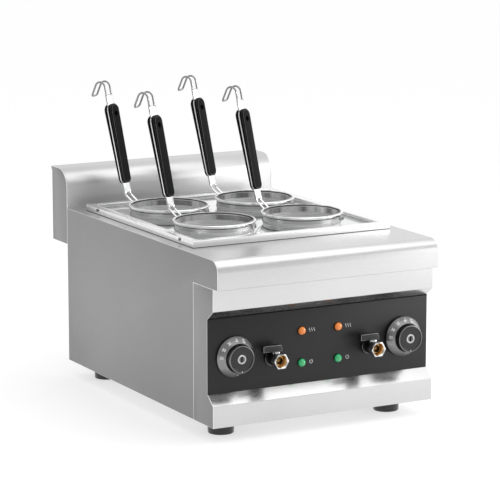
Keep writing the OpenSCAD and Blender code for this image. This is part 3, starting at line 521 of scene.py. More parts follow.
def arc(centre, start, axis, angle, steps):
    """Points of an arc from a start vector about a centre, its angle in degrees."""
    step = math.radians(angle) / steps
    return [
        Vector(centre) + Matrix.Rotation(step * i, 3, Vector(axis)) @ Vector(start) for i in range(steps + 1)
    ]


def section(points):
    """Points in the XZ plane as (radius, height)."""
    return [(point.x, point.z) for point in points]


def hexagon(across_flats, height, chamfer):
    """Hexagonal bar along Z from the origin, with all its edges softened."""
    bm = bmesh.new()
    pin(bm, across_flats / math.sqrt(3), height, shifted(0, 0, height / 2) @ turned(30, "Z"), 6)
    return soften(bm, chamfer)


def in_scene(name, data):
    """New object in the scene."""
    made = bpy.data.objects.new(name, data)
    bpy.context.scene.collection.objects.link(made)
    return made


def as_mesh(bm, name):
    """Mesh of a shape, which is used up."""
    mesh = bpy.data.meshes.new(name)
    bm.to_mesh(mesh)
    bm.free()
    return mesh


def evaluated(made):
    """Shape of an object as it is after its modifiers."""
    mesh = bpy.data.meshes.new_from_object(made.evaluated_get(bpy.context.evaluated_depsgraph_get()))
    bm = bmesh.new()
    bm.from_mesh(mesh)
    bpy.data.meshes.remove(mesh)
    return bm


def lettering(text, size):
    """Thin letters in the XY plane, centred on the origin."""
    curve = bpy.data.curves.new("mark", "FONT")
    curve.body = text
    curve.size = size
    curve.align_x = "CENTER"
    curve.align_y = "CENTER"
    curve.extrude = 0.05 * MM
    curve.offset = 0.3 * MM
    holder = in_scene("mark", curve)
    bm = tidy(evaluated(holder))
    bpy.data.objects.remove(holder)
    bpy.data.curves.remove(curve)
    bmesh.ops.delete(bm, geom=[vert for vert in bm.verts if not vert.link_faces], context="VERTS")
    return bm


def join(target, part, matrix=None, slot=0):
    """Adds a shape to another, moved by a matrix; its faces in the first material slot get the one given."""
    if matrix is not None:
        moved(part, matrix)
    for face in part.faces:
        face.material_index = face.material_index or slot
    mesh = as_mesh(part, "joining")
    target.from_mesh(mesh)
    bpy.data.meshes.remove(mesh)
    return target


def drilled(bm, cutter):
    """The shape with a cutter's solids taken out of it."""
    blank, drill = in_scene("blank", as_mesh(bm, "blank")), in_scene("drill", as_mesh(cutter, "drill"))
    cut = blank.modifiers.new("cut", "BOOLEAN")
    cut.operation = "DIFFERENCE"
    cut.solver = "EXACT"
    cut.object = drill
    bpy.context.view_layer.update()
    result = evaluated(blank)
    for solid in (blank, drill):
        spare = solid.data
        bpy.data.objects.remove(solid)
        bpy.data.meshes.remove(spare)
    return result


def assign_slots(bm, slot_at):
    """Gives each face the material slot that a rule finds for its middle."""
    for face in bm.faces:
        face.material_index = slot_at(face.calc_center_median())
    return bm


def from_axis(spot):
    """Distance from the Z axis."""
    return math.hypot(spot.x, spot.y)


def piece(bm, name, finishes, body, slot, nodes=(), crease=28.0):
    """Makes an object of a shape, gives it its finishes and hangs it on a body."""
    for face in bm.faces:
        face.smooth = True
    mesh = as_mesh(bm, name)
    mesh.set_sharp_from_angle(angle=math.radians(crease))
    for item in finishes:
        mesh.materials.append(finish(item))
    made = in_scene(name, mesh)
    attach(made, body)
    if nodes:
        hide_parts(*nodes)
    return made


def dress(node, name):
    """Gives a CAD node that stays as it is a finish."""
    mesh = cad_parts[node].data
    mesh.materials.clear()
    mesh.materials.append(finish(name))


# Pieces


class COOKER_OT_casing(bpy.types.Operator):
    """Side panels and top cover"""

    bl_idname = "cooker.casing"
    bl_label = "Casing"

    def execute(self, context):
        size = sizes()
        nose_steps = 14
        outline = [
            (SEAM_Y, BODY_Z), (BACK_Y, BODY_Z), (BACK_Y, TOP_Z), (NOSE_Y, TOP_Z), (NOSE_Y, COVER_Z),
            (SEAM_Y, COVER_Z),
        ]
        for side, x in zip(SIDES, SIDE_STARTS):
            # The side panels' softened edges take slot 1: a painted highlight along their edges.
            bm = soften(plate(outline, SHEET, {size.nose_radius: [3]}, nose_steps), size.edge, slot=1)
            moved(bm, across(x))
            finishes = ["steel_along", "cut_edge"]
            piece(bm, f"{side}_side", finishes, "base", "casing_steel", [f"{side}_side_panel"])

        lip, well_rim, deep = mm(10, 5, 4)
        chain = [(BACK_Y, TOP_Z), (NOSE_Y, TOP_Z), (NOSE_Y, COVER_Z), (FASCIA_Y + lip, COVER_Z)]
        cover = folded(chain, {1: size.nose_radius, 2: size.fold_radius}, SIDE_X - SHEET, nose_steps)
        openings = bmesh.new()
        for side in SIDES:
            low, high = corners(f"well_{side}")
            start = (low.x + well_rim, low.y + well_rim, TOP_Z - deep)
            join(openings, block(start, (high.x - well_rim, high.y - well_rim, TOP_Z + deep)))
        piece(drilled(cover, openings), "cover", ["steel_across"], "base", "casing_steel", ["top_cover"])
        return {"FINISHED"}


class COOKER_OT_fascia(bpy.types.Operator):
    """Folded front with the control recess, its sides and the black panel"""

    bl_idname = "cooker.fascia"
    bl_label = "Fascia"

    def execute(self, context):
        size = sizes()
        band = BODY_Z + size.lower_band
        slope = PANEL_Z1 + size.upper_slope
        chain = [
            (FASCIA_Y, COVER_Z), (FASCIA_Y, slope), (PANEL_Y, PANEL_Z1), (PANEL_BACK_Y, PANEL_Z1),
            (PANEL_BACK_Y, PANEL_Z0), (PANEL_Y, PANEL_Z0), (FASCIA_Y, band), (FASCIA_Y, BODY_Z),
        ]
        bm = folded(chain, {1: size.fold_radius, 6: size.fold_radius}, SIDE_X - size.edge, 5)
        outline = chain + [(SEAM_Y, BODY_Z), (SEAM_Y, COVER_Z)]
        for x in SIDE_STARTS:
            # The side plates' softened edges take slot 2: a painted highlight along their edges.
            join(bm, soften(plate(outline, SHEET), size.edge, slot=2), across(x), 1)
        piece(bm, "fascia", ["fascia", "steel_along", "cut_edge"], "base", "casing_steel", ["front_fascia"])

        panel_edge, proud, sunk = mm(0.25, 0.04, 0.2)
        # A near-black strip along the top edge of the panel: painted shade where the fold meets it.
        shade_low, shade_high = PANEL_Z1 - 1.3 * MM, PANEL_Z1 - 0.3 * MM
        panel = soften(block((-SIDE_X, PANEL_Y, PANEL_Z0), (SIDE_X, PANEL_BACK_Y, PANEL_Z1)), panel_edge)
        shade_strip = block((-SIDE_X, PANEL_Y - proud, shade_low), (SIDE_X, PANEL_Y + sunk, shade_high))
        join(panel, shade_strip, None, 1)
        piece(panel, "panel", ["panel", "dark"], "base", "panel_black", ["control_panel"])
        return {"FINISHED"}


def lamp_lenses(kind):
    """Radius and height of a kind of lamp lens, and the frames of its two lenses on the panel."""
    low, high = corners(f"lamp_lenses_{kind}")
    radius = (high.z - low.z) / 2
    places = [on_panel(x, (low.z + high.z) / 2) for x in (low.x + radius, high.x - radius)]
    return radius, PANEL_Y - low.y, places


def symbol_paths(kind):
    """Strokes beside a lamp: three waves for heat, a broken ring with an upright bar for power."""
    if kind == "heat":
        steps = 8
        first, apart, swing, tall = mm(15, 4.2, 0.8, 6)
        return [
            [
                (first + apart * k + math.sin(i / steps * 2 * math.pi) * swing, (i / steps - 0.5) * tall, 0)
                for i in range(steps + 1)
            ]
            for k in range(3)
        ]
    away = 18 * MM
    ring = arc((away, 0, 0), (1.6 * MM, 2.4 * MM, 0), (0, 0, 1), -293, 20)
    return [ring, [(away, 0.6 * MM, 0), (away, 3.6 * MM, 0)]]


class COOKER_OT_panel_marks(bpy.types.Operator):
    """Plain white symbols beside the lamps"""

    bl_idname = "cooker.panel_marks"
    bl_label = "Panel marks"

    def execute(self, context):
        stroke, sides = 0.4 * MM, 6
        flat = Matrix.Diagonal((1, 1, 0.15, 1))
        marks = bmesh.new()
        for kind in LENS_COLOURS:
            _, _, places = lamp_lenses(kind)
            for place in places:
                for path in symbol_paths(kind):
                    join(marks, swept(path, stroke, sides), place @ flat)
        piece(moved(marks, shifted(0, -PRINT_LIFT, 0)), "panel_marks", ["mark"], "base", None)
        return {"FINISHED"}


class COOKER_OT_splashback(bpy.types.Operator):
    """Splashback with its end caps"""

    bl_idname = "cooker.splashback"
    bl_label = "Splashback"

    def execute(self, context):
        size = sizes()
        low, high = corners("splashback")
        lip_edge = 1.5 * MM
        lip_y, lip_z = high.y - 4 * MM, high.z - 8 * MM
        outline = [
            (low.y, low.z), (lip_y, low.z), (lip_y, lip_z), (high.y, high.z - lip_edge), (high.y, high.z),
            (low.y, high.z),
        ]
        rounds, steps = {size.splash_radius: [5]}, 16
        bm = soften(plate(outline, high.x - low.x, rounds, steps), size.edge)
        piece(moved(bm, across(low.x)), "splash", ["splash"], "base", "casing_steel", ["splashback"])
        ends = bmesh.new()
        for x in SIDE_STARTS:
            # The end caps' softened edges take slot 1: a painted highlight along their edges.
            join(ends, soften(plate(outline, SHEET, rounds, steps), size.edge, slot=1), across(x))
        piece(ends, "splash_ends", ["steel_along", "cut_edge"], "base", "casing_steel", ["splashback_ends"])
        return {"FINISHED"}


def bars_round(low, high, near, far, bottom, top):
    """Four bars that go round a rectangle, between two depths inside its edge and two heights."""
    bars = bmesh.new()
    for x0, x1, y0, y1 in (
        (low.x + near, high.x - near, low.y + near, low.y + far),
        (low.x + near, high.x - near, high.y - far, high.y - near),
        (low.x + near, low.x + far, low.y + far, high.y - far),
        (high.x - far, high.x - near, low.y + far, high.y - far),
    ):
        join(bars, block((x0, y0, bottom), (x1, y1, top)))
    return bars


class COOKER_OT_tray(bpy.types.Operator):
    """Raised border and polished basket plate"""

    bl_idname = "cooker.tray"
    bl_label = "Tray"

    def execute(self, context):
        bar, shadow_gap, overlap, bar_edge = mm(14.5, 0.6, 0.2, 0.7)
        low, high = corners("tray_frame")
        plate_z = high.z - 5.8 * MM
        border = block((low.x, low.y, low.z + shadow_gap), high)
        for inset, top in ((bar, high.z + MM), (SHEET, plate_z + overlap)):
            room = block((low.x + inset, low.y + inset, low.z - MM), (high.x - inset, high.y - inset, top))
            border = drilled(border, room)
        soften(tidy(border), bar_edge, 40.0, 3)
        # A near-black strip set in under the border's raised foot: painted shade in the gap below it.
        join(border, bars_round(low, high, 0.5 * MM, 2 * MM, low.z, low.z + shadow_gap + overlap), None, 1)
        piece(border, "border", ["border", "dark"], "base", "polished_steel", ["tray_frame"])

        hole, drill = mm(66, 20)
        low, high = corners("basket_plate")
        holes = bmesh.new()
        for basket in BASKETS:
            centre = middle(f"{basket}_cup")
            pin(holes, hole, drill, shifted(centre.x, centre.y, plate_z), 96)
        deck = drilled(block(low, (high.x, high.y, plate_z)), holes)
        join(deck, bars_round(low, high, 0, SHEET, plate_z, high.z))
        piece(deck, "deck", ["polished"], "base", "polished_steel", ["basket_plate"])
        dress("frame_screws", "dark_steel")
        return {"FINISHED"}


def wrap(bm, radius):
    """UV map in millimetres, round the wall and flat over the bottom."""
    layer = bm.loops.layers.uv.new(WRAP)
    bm.normal_update()
    for face in bm.faces:
        mid = face.calc_center_median()
        start = math.atan2(mid.y, mid.x)
        for loop in face.loops:
            spot = loop.vert.co
            if abs(face.normal.z) > 0.7:
                loop[layer].uv = (spot.x / MM, spot.y / MM)
            else:
                turn = (math.atan2(spot.y, spot.x) - start + math.pi) % (2 * math.pi) - math.pi
                loop[layer].uv = ((start + turn) * radius / MM, spot.z / MM)
    return bm


def drain_drills(hole, count):
    """Pins that cut a cup's drain holes: staggered rows round its wall and two rings in its bottom."""
    drills = bmesh.new()
    rows, depth, sides, plain_wall, ring_share = 5, 8 * MM, 16, 60 * MM, 3.2
    lowest = CUP_FLOOR_Z + CUP_ROUNDING + hole
    step = (LIP_Z - plain_wall - hole - lowest) / (rows - 1)
    for row in range(rows):
        place = shifted(CUP_R, 0, lowest + row * step) @ turned(90, "Y")
        for turn in turns(count, row % 2 / 2):
            pin(drills, hole, depth, turn @ place, sides)
    for ring in (1, 2):
        for turn in turns(6 * ring):
            pin(drills, hole, depth, turn @ shifted(ring * CUP_R / ring_share, 0, CUP_FLOOR_Z), sides)
    return drills


def cup_shape():
    """Basket cup about the origin: plain collar, perforated wall and bottom, turned lip and drain holes,
    with painted shade lines under the lip and inside below the top, and a painted highlight band under the
    inner line.
    """
    size = sizes()
    seam = CUP_TOP_Z - size.collar
    # A painted shade line runs under the lip outside and below the top inside; a painted highlight band runs
    # under the inner line.
    shade_line, highlight_line = mm(1.7, 1.19)
    lip_under, line_top = LIP_Z - CUP_WALL, CUP_TOP_Z - MM
    line_end = line_top - shade_line
    inside = CUP_R - CUP_WALL
    corner = (CUP_R - CUP_ROUNDING, 0, CUP_FLOOR_Z + CUP_ROUNDING)
    under = arc(corner, (0, 0, -CUP_ROUNDING), (0, 1, 0), -90, 6)
    above = arc(corner, (CUP_ROUNDING - CUP_WALL, 0, 0), (0, 1, 0), 90, 6)
    outline = [(0, CUP_FLOOR_Z)] + section(under)
    outline += [
        (CUP_R, seam), (CUP_R, lip_under - shade_line), (CUP_R, lip_under), (RIM_R, lip_under),
        (RIM_R, LIP_Z), (CUP_R, LIP_Z), (CUP_R, CUP_TOP_Z), (inside, CUP_TOP_Z), (inside, line_top),
        (inside, line_end), (inside, line_end - highlight_line), (inside, seam),
    ]
    outline += section(above) + [(0, CUP_FLOOR_Z + CUP_WALL)]
    bm = drilled(lathe(outline, 108), drain_drills(size.drip_radius, size.drip_round))
    outside_slot, mesh_slot, inside_slot, shade_slot, highlight_slot = range(5)

    def slot_at(spot):
        within = from_axis(spot) < CUP_R - CUP_WALL / 2
        below = (line_top if within else lip_under) - spot.z
        if spot.z < seam:
            return mesh_slot
        if 0 < below < shade_line:
            return shade_slot
        if within and shade_line < below < shade_line + highlight_line:
            return highlight_slot
        return inside_slot if within else outside_slot

    return assign_slots(wrap(bm, CUP_R), slot_at)


def rim_shape():
    """Rim wire and rest lug about the origin, with the handle's side along +X."""
    half, thick, drop, bend, edge = mm(6, 1.5, 7, 2.2, 0.3)
    sides = 14
    *ring, _ = arc((RIM_R, 0, RIM_Z), (0, 0, RIM_WIRE), (0, 1, 0), -360, sides)
    bm = lathe(section(ring), 96)
    outer = RIM_R + RIM_WIRE + 8 * MM
    low, high = RIM_Z - thick / 2, RIM_Z + thick / 2
    strap = [
        (RIM_R, low), (outer - thick, low), (outer - thick, RIM_Z - drop), (outer, RIM_Z - drop),
        (outer, high), (RIM_R, high),
    ]
    lug = soften(plate(strap, 2 * half, {bend: [4]}, 5), edge)
    return join(bm, lug, turned(180, "Z") @ shifted(0, half, 0) @ turned(90, "X"), 1)


# A handle's own frame has +X away from its basket and +Z along the grip.
HANDLE_FRAME = shifted(87.2 * MM, 0, RIM_Z + 30.5 * MM) @ turned(12.6, "Y")
GRIP_LENGTH, GRIP_WIDTH = mm(136, 25)
GRIP_FOOT_ROUND, GRIP_TOP_ROUND = mm(8, 11.5)
SCALE_LOW, SCALE_HIGH = mm(4, 7.2)
TANG_WIDE, TANG_THICK = mm(20, 2)
TANG_BOTTOM, TANG_TOP = mm(-16.5, 152)
WIRES_HALF, LET_IN = mm(7.25, 3)
RIVET_R, RIVET_SINK = mm(4.4, 1.5)
RIVET_FRAME = shifted(0, 0, GRIP_LENGTH - 17 * MM) @ turned(90, "Y")


def scale_depth(height):
    """Thickness of a grip scale at a height along the grip."""
    return SCALE_LOW + (SCALE_HIGH - SCALE_LOW) * height / GRIP_LENGTH


def grip_plate(inset, thickness):
    """Plate of the grip's outline, drawn in by an inset."""
    half, top = GRIP_WIDTH / 2 - inset, GRIP_LENGTH - inset
    outline = [(-half, inset), (half, inset), (half, top), (-half, top)]
    return plate(outline, thickness, {GRIP_FOOT_ROUND - inset: [0, 1], GRIP_TOP_ROUND - inset: [2, 3]})


def lower_wire(wire):
    """Bent wire from the rim up into the tang's foot."""
    rest_r = RIM_R + 2.54 * MM
    away = math.sqrt(rest_r**2 - WIRES_HALF**2)
    foot = HANDLE_FRAME.inverted() @ Vector((away, 0, RIM_Z))
    knee = Vector((0, 0, TANG_BOTTOM - 3 * MM))
    fall = (foot - knee).normalized()
    bend = [(3 * MM, 0), (1.2 * MM, 0.3 * MM), (0, 2.2 * MM)]
    path = [foot] + [knee + fall * down + Vector((0, 0, up)) for down, up in bend]
    return swept(path + [(0, 0, TANG_BOTTOM + LET_IN)], wire)


def hook_wire(wire):
    """Double wire that rises out of the tang, bends over and comes back beside itself."""
    radius, angle, leg, corner, rise = 9.8 * MM, 144, 17 * MM, 3.6 * MM, 13.7 * MM
    bend = shifted(radius, 0, TANG_TOP + rise) @ turned(angle - 180, "Y")
    start = turned(-angle, "Y") @ Vector((radius, 0, 0))
    over = arc((0, WIRES_HALF, 0), start, (0, 1, 0), angle, 18)
    tip = arc((radius, WIRES_HALF - corner, -leg), (0, corner, 0), (1, 0, 0), -90, 5)
    half = [Vector((0, WIRES_HALF, TANG_TOP - LET_IN))] + [bend @ point for point in over + tip]
    return swept(half + [Vector((p.x, -p.y, p.z)) for p in reversed(half)], wire)


def rivet():
    """Rivet through both scales about Z, sunk below their faces."""
    end = TANG_THICK / 2 + scale_depth(RIVET_FRAME.translation.z) - RIVET_SINK
    edge = 0.5 * MM
    outline = [
        (0, -end), (RIVET_R - edge, -end), (RIVET_R, edge - end), (RIVET_R, end - edge),
        (RIVET_R - edge, end), (0, end),
    ]
    return lathe(outline, 28)


def handle_shape():
    """Full tang, lower wires, double-wire hook and sunk rivet in the handle's own frame."""
    wire = sizes().wire
    step, play, strip_edge, tang_edge = mm(0.3, 0.05, 0.7, 0.2)
    # The rivet takes the dark finish: painted shade in its hole. The tang strip's softened edges take the
    # gunmetal finish: painted shade along them. The hook wire, in slot 0, is a darker steel than the lower
    # wires: painted shade.
    shade_slot, tang_slot, wire_slot, edge_shade_slot = 1, 2, 3, 4
    half, wide = TANG_THICK / 2, TANG_WIDE / 2
    strip = block((-half, -wide, TANG_BOTTOM), (half, wide, TANG_TOP))
    bm = bmesh.new()
    join(bm, soften(strip, strip_edge, slot=edge_shade_slot), None, tang_slot)
    full = soften(grip_plate(step, TANG_THICK - 2 * play), tang_edge)
    join(bm, full, across(play - half), tang_slot)
    for side in (-1, 1):
        join(bm, lower_wire(wire), shifted(0, side * WIRES_HALF, 0), wire_slot)
    join(bm, hook_wire(wire))
    return join(bm, rivet(), RIVET_FRAME, shade_slot)


def grip_shape():
    """Two chamfered scales in the handle's own frame, with their rivet hole."""
    edge, drill = mm(0.5, 30)
    both = bmesh.new()
    for turn in turns(2):
        bm = grip_plate(0, SCALE_HIGH)
        face = max(bm.faces, key=lambda item: item.calc_center_median().z)
        bevel(bm, list(face.edges), sizes().grip_bevel, 1)
        soften(bm, edge, 35.0, 2, 1)
        for vert in bm.verts:
            vert.co.z *= scale_depth(vert.co.y) / SCALE_HIGH
        join(both, bm, turn @ across(TANG_THICK / 2))
    hole = bmesh.new()
    pin(hole, RIVET_R, drill, RIVET_FRAME, 28)
    return drilled(both, hole)


class COOKER_OT_baskets(bpy.types.Operator):
    """Lift-out baskets with their rims, handles and grips"""

    bl_idname = "cooker.baskets"
    bl_label = "Baskets"

    def execute(self, context):
        rim_frame = turned(120, "Z")
        handle_frame = rim_frame @ HANDLE_FRAME
        # The cup's slots 3 and 4 are its painted shade lines and its painted highlight band.
        cup_finishes = ["cup_outside", "mesh", "cup_inside", "gun", "wire"]
        handle_finishes = ["hook", "dark", "tang", "wire", "gun"]
        parts = (
            (cup_shape(), "cup", cup_finishes, Matrix.Identity(4), "polished_steel"),
            (rim_shape(), "rim", ["wire", "scale"], rim_frame, "polished_steel"),
            (handle_shape(), "handle", handle_finishes, handle_frame, "polished_steel"),
            (grip_shape(), "grip", ["grip", "plastic"], handle_frame, "black_plastic"),
        )
        for basket in BASKETS:
            centre = middle(f"{basket}_cup")
            stand = shifted(centre.x, centre.y, 0)
            for shape, part, finishes, place, slot in parts:
                bm = moved(shape.copy(), stand @ place)
                name = f"{basket}_{part}_dressed"
                piece(bm, name, finishes, f"basket_{basket}", slot, [f"{basket}_{part}"])
        for shape, *_ in parts:
            shape.free()
        return {"FINISHED"}


# Dial sizes are radii and heights above the control panel.
KNOB_R, KNOB_FACE = mm(22, 27)
SPINDLE_R = 3 * MM
CAP_BED = KNOB_FACE - 6 * MM


def scale_ring_shape():
    """Numbered ring with an upright foot and a sloping face that holds its print."""
    bore, foot, crest = mm(22.6, 32.5, 23.6)
    groove, shoulder, tall = mm(3, 5.5, 17.5)
    edge, crown = mm(0.4, 0.5)
    outline = [
        (bore, 0), (foot, 0), (foot, groove), (foot, shoulder - crown), (foot - edge, shoulder),
        (crest, tall - edge), (crest - crown, tall), (bore, tall),
    ]
    ring = lathe(outline, 96)
    assign_slots(ring, lambda spot: 0 if shoulder - MM < spot.z < tall - crown else 2)
    run, fall = foot - edge - crest, tall - edge - shoulder
    lean = Matrix.Rotation(-math.atan2(fall, run), 4, "X")
    face = shifted(0, crest + run / 2, shoulder + fall / 2) @ lean @ shifted(0, 0, PRINT_LIFT)
    first, apart, letter = 86, 27, 6.4 * MM
    for i, text in enumerate(("30", "50", "70", "90", "110")):
        join(ring, lettering(text, letter), turned(first - apart * i, "Z") @ face @ turned(-90, "Z"), 1)
    bar = Vector((0.45 * MM, 2.2 * MM, 0.05 * MM))
    return join(ring, block(-bar, bar), turned(180, "Z") @ face, 1)


def knob_shape():
    """Round knob with a painted highlight on its rim, a dished face, a hub on the spindle and a white dot.
    """
    inner, foot, rim, dish = KNOB_R - 3 * MM, 1 * MM, 1.6 * MM, 1 * MM
    well, hub, hub_foot, hub_top = mm(7.6, 9.5, 5, 18)
    outline = [
        (inner, foot), (KNOB_R, foot), (KNOB_R, KNOB_FACE - rim), (KNOB_R - 0.5 * MM, KNOB_FACE - 0.5 * MM),
        (KNOB_R - rim, KNOB_FACE), (inner, KNOB_FACE), (inner - 1.2 * MM, KNOB_FACE - dish),
        (well, KNOB_FACE - dish), (well, CAP_BED), (SPINDLE_R, CAP_BED), (SPINDLE_R, hub_foot),
        (hub, hub_foot), (hub, hub_top), (inner, hub_top),
    ]
    knob = lathe(outline, 96)
    # The rim's top takes the edge finish: a painted highlight.
    highlight_r, highlight_z = KNOB_R - 1.4 * MM, KNOB_FACE - rim
    assign_slots(knob, lambda spot: 2 if spot.z > highlight_z and from_axis(spot) > highlight_r else 0)
    dot, proud, sunk = mm(0.8, 0.03, 0.3)
    print_dot = lathe([(0, proud), (dot, proud), (dot, -sunk), (0, -sunk)], 16)
    return join(knob, print_dot, shifted(0, -inner - 0.6 * MM, KNOB_FACE), 1)


def cap_shape(tail):
    """Slotted centre cap on its spindle, which ends at a height behind the panel."""
    radius, brow, dish = mm(7.5, 5, 4.6)
    front, edge = KNOB_FACE - 0.4 * MM, 0.5 * MM
    floor = front - 0.7 * MM
    outline = [
        (0, tail), (SPINDLE_R, tail), (SPINDLE_R, CAP_BED), (radius, CAP_BED), (radius, front - edge),
        (radius - edge, front), (brow, front), (dish, floor), (0, floor),
    ]
    half_wide, half_long = mm(1.1, 4.1)

    def bar(below, above):
        low = (-half_wide, -half_long, KNOB_FACE + below)
        return block(low, (half_wide, half_long, KNOB_FACE + above))

    cap = drilled(lathe(outline, 48), bar(-2.4 * MM, 2 * MM))
    dark_r, dark_z = 4.5 * MM, KNOB_FACE - 2 * MM
    assign_slots(cap, lambda spot: 2 if spot.z > dark_z and from_axis(spot) < dark_r else 0)
    # A dark plate at the bottom of the slot: painted shade in the slot.
    return join(cap, bar(-2.6 * MM, -2.3 * MM), None, 1)


class COOKER_OT_dials(bpy.types.Operator):
    """Numbered dial rings, knobs and slotted caps"""

    bl_idname = "cooker.dials"
    bl_label = "Dials"

    def execute(self, context):
        for side in SIDES:
            centre = middle(f"dial_ring_{side}")
            place = on_panel(centre.x, centre.z)
            body = f"{side}_knob"
            ring = moved(scale_ring_shape(), place)
            finishes = ["scale", "mark", "plastic"]
            piece(ring, f"scale_ring_{side}", finishes, "base", "black_plastic", [f"dial_ring_{side}"])
            knob = moved(knob_shape(), place)
            finishes = ["plastic", "mark", "edge"]
            piece(knob, f"knob_{side}_dressed", finishes, body, "black_plastic", [f"knob_{side}"])
            _, spindle_end = corners(f"spindle_{side}")
            cap = moved(cap_shape(PANEL_Y - spindle_end.y), place)
            piece(cap, f"cap_{side}", ["cap", "dark", "gun"], body, "plated", [f"spindle_{side}"])
        return {"FINISHED"}


class COOKER_OT_lamps(bpy.types.Operator):
    """Domed lamp lenses"""

    bl_idname = "cooker.lamps"
    bl_label = "Lamps"

    def execute(self, context):
        rim, crease = 2 * MM, 50.0
        for kind, tone in LENS_COLOURS.items():
            radius, tall, places = lamp_lenses(kind)
            dome = tall - rim
            ball = (radius**2 + dome**2) / (2 * dome)
            swing = math.degrees(math.asin(min(1, radius / ball)))
            top = arc((0, 0, tall - ball), (0, 0, ball), (0, 1, 0), swing, 10)
            outline = [(0, 0), (radius, 0)] + section(reversed(top))
            lenses = bmesh.new()
            for place in places:
                # The side wall below the dome takes the dark finish: partly a dark bezel, partly painted
                # shade at the lens's edge.
                join(lenses, assign_slots(lathe(outline, 40), lambda spot: 1 if spot.z < rim else 0), place)
            nodes = [f"lamp_lenses_{kind}"]
            piece(lenses, f"lenses_{kind}", [kind, "dark"], "base", f"lens_{tone}", nodes, crease)
        return {"FINISHED"}


def tap_shape(front, tail):
    """Valve body about Z: pipe, collar, hexagonal outlet with a threaded bore, and the stem's nut."""
    flats, deep, chamfer = mm(23, 13, 0.8)
    stem, room, port, seat = mm(18, 8.8, 6, 4.5)
    pipe, neck, collar, collar_top, edge = mm(10.4, 11, 13, 6, 0.6)
    root = front - deep
    behind = root + MM
    outline = [
        (port, tail), (pipe, tail), (pipe, 0), (collar, 0), (collar, collar_top - edge),
        (collar - edge, collar_top), (neck, collar_top), (neck, behind), (room, behind),
        (room, stem - room), (port, stem - room),
    ]
    # Pipe, collar and neck take slot 2, the gunmetal finish: a painted reflection of the black panel in
    # their chrome.
    body = assign_slots(lathe(outline, 64), lambda spot: 2)

    at_root = shifted(0, 0, root)
    bore, mouth, mouth_deep, ball_gap, past = 9.3 * MM, 10.6 * MM, deep - 1.5 * MM, 0.7 * MM, 0.1 * MM
    cutter = [
        (0, -MM), (room, -MM), (room, seat - ball_gap), (port, seat - ball_gap), (port, seat), (bore, seat),
        (bore, mouth_deep), (mouth, deep + past), (0, deep + past),
    ]
    join(body, drilled(hexagon(flats, deep, chamfer), lathe(cutter, 48)), at_root)

    root_r, crest_r, pitch = mm(9.28, 8.7, 1.3)
    thread = [(9.4 * MM, seat)]
    for k in range(5):
        turn = seat + pitch * k
        thread += [(root_r, turn + 0.3 * MM), (crest_r, turn + 0.8 * MM)]
    thread += [(root_r, mouth_deep), (10.3 * MM, deep - 0.35 * MM), (10.4 * MM, deep - 0.9 * MM)]
    join(body, lathe(thread, 48), at_root, 1)
    washer_r, washer_top = 9.2 * MM, seat + 0.2 * MM
    washer = [(port, seat), (washer_r, seat), (washer_r, washer_top), (port, washer_top)]
    join(body, lathe(washer, 48), at_root, 1)

    nut_flats, nut_top, nut_chamfer = mm(11, 13.2, 0.5)
    upright = shifted(0, 0, stem) @ turned(-90, "X") @ shifted(0, 0, room)
    return join(body, hexagon(nut_flats, nut_top - room, nut_chamfer), upright)


def lever_shape(node):
    """Lever in the box of its CAD node, with a slanted right end and softened edges."""
    low, high = corners(node)
    slant, knee, bend, edge = 2 * MM, 0.4, 1.6 * MM, 0.8 * MM
    knee_z = low.z + knee * (high.z - low.z)
    outline = [
        (low.x, low.z), (high.x, low.z), (high.x, knee_z), (high.x - slant, high.z), (low.x, high.z),
    ]
    # The bevels take slot 1, the edge finish: a painted highlight along the lever's edges.
    bm = soften(plate(outline, high.y - low.y, {bend: [4]}, 5), edge, 25.0, 3, 1)
    return moved(bm, shifted(0, high.y, 0) @ turned(90, "X"))


class COOKER_OT_valves(bpy.types.Operator):
    """Drain valves and their levers"""

    bl_idname = "cooker.valves"
    bl_label = "Valves"

    def execute(self, context):
        height = middle("valve_nuts").z
        for side in SIDES:
            low, high = corners(f"valve_body_{side}")
            tap = tap_shape(PANEL_Y - low.y, PANEL_Y - high.y)
            moved(tap, on_panel((low.x + high.x) / 2, height))
            piece(tap, f"tap_{side}", ["chrome", "brass", "gun"], "base", "plated", [f"valve_body_{side}"])
            node = f"valve_lever_{side}"
            name, finishes = f"lever_{side}_dressed", ["plastic", "edge"]
            piece(lever_shape(node), name, finishes, f"{side}_lever", "black_plastic", [node])
            # The valve ball's darker brass is painted shade inside the bore.
            dress(f"valve_ball_{side}", "bronze")
        return {"FINISHED"}


class COOKER_OT_feet(bpy.types.Operator):
    """Round feet"""

    bl_idname = "cooker.feet"
    bl_label = "Feet"

    def execute(self, context):
        low, high = corners("feet")
        radius, bore, tall = 21.8 * MM, 7 * MM, high.z
        outline = [
            (bore, 0), (radius - 2.6 * MM, 0), (radius - 1.4 * MM, 0.5 * MM), (radius - 0.8 * MM, 1.8 * MM),
            (radius - 0.4 * MM, tall / 2), (radius, tall - MM), (radius - 0.6 * MM, tall), (bore, tall),
        ]
        feet = bmesh.new()
        for x in (low.x + radius, high.x - radius):
            for y in (low.y + radius, high.y - radius):
                join(feet, lathe(outline, 64), shifted(x, y, 0))
        piece(feet, "feet_dressed", ["rubber"], "base", "foot_rubber", ["feet"])
        return {"FINISHED"}


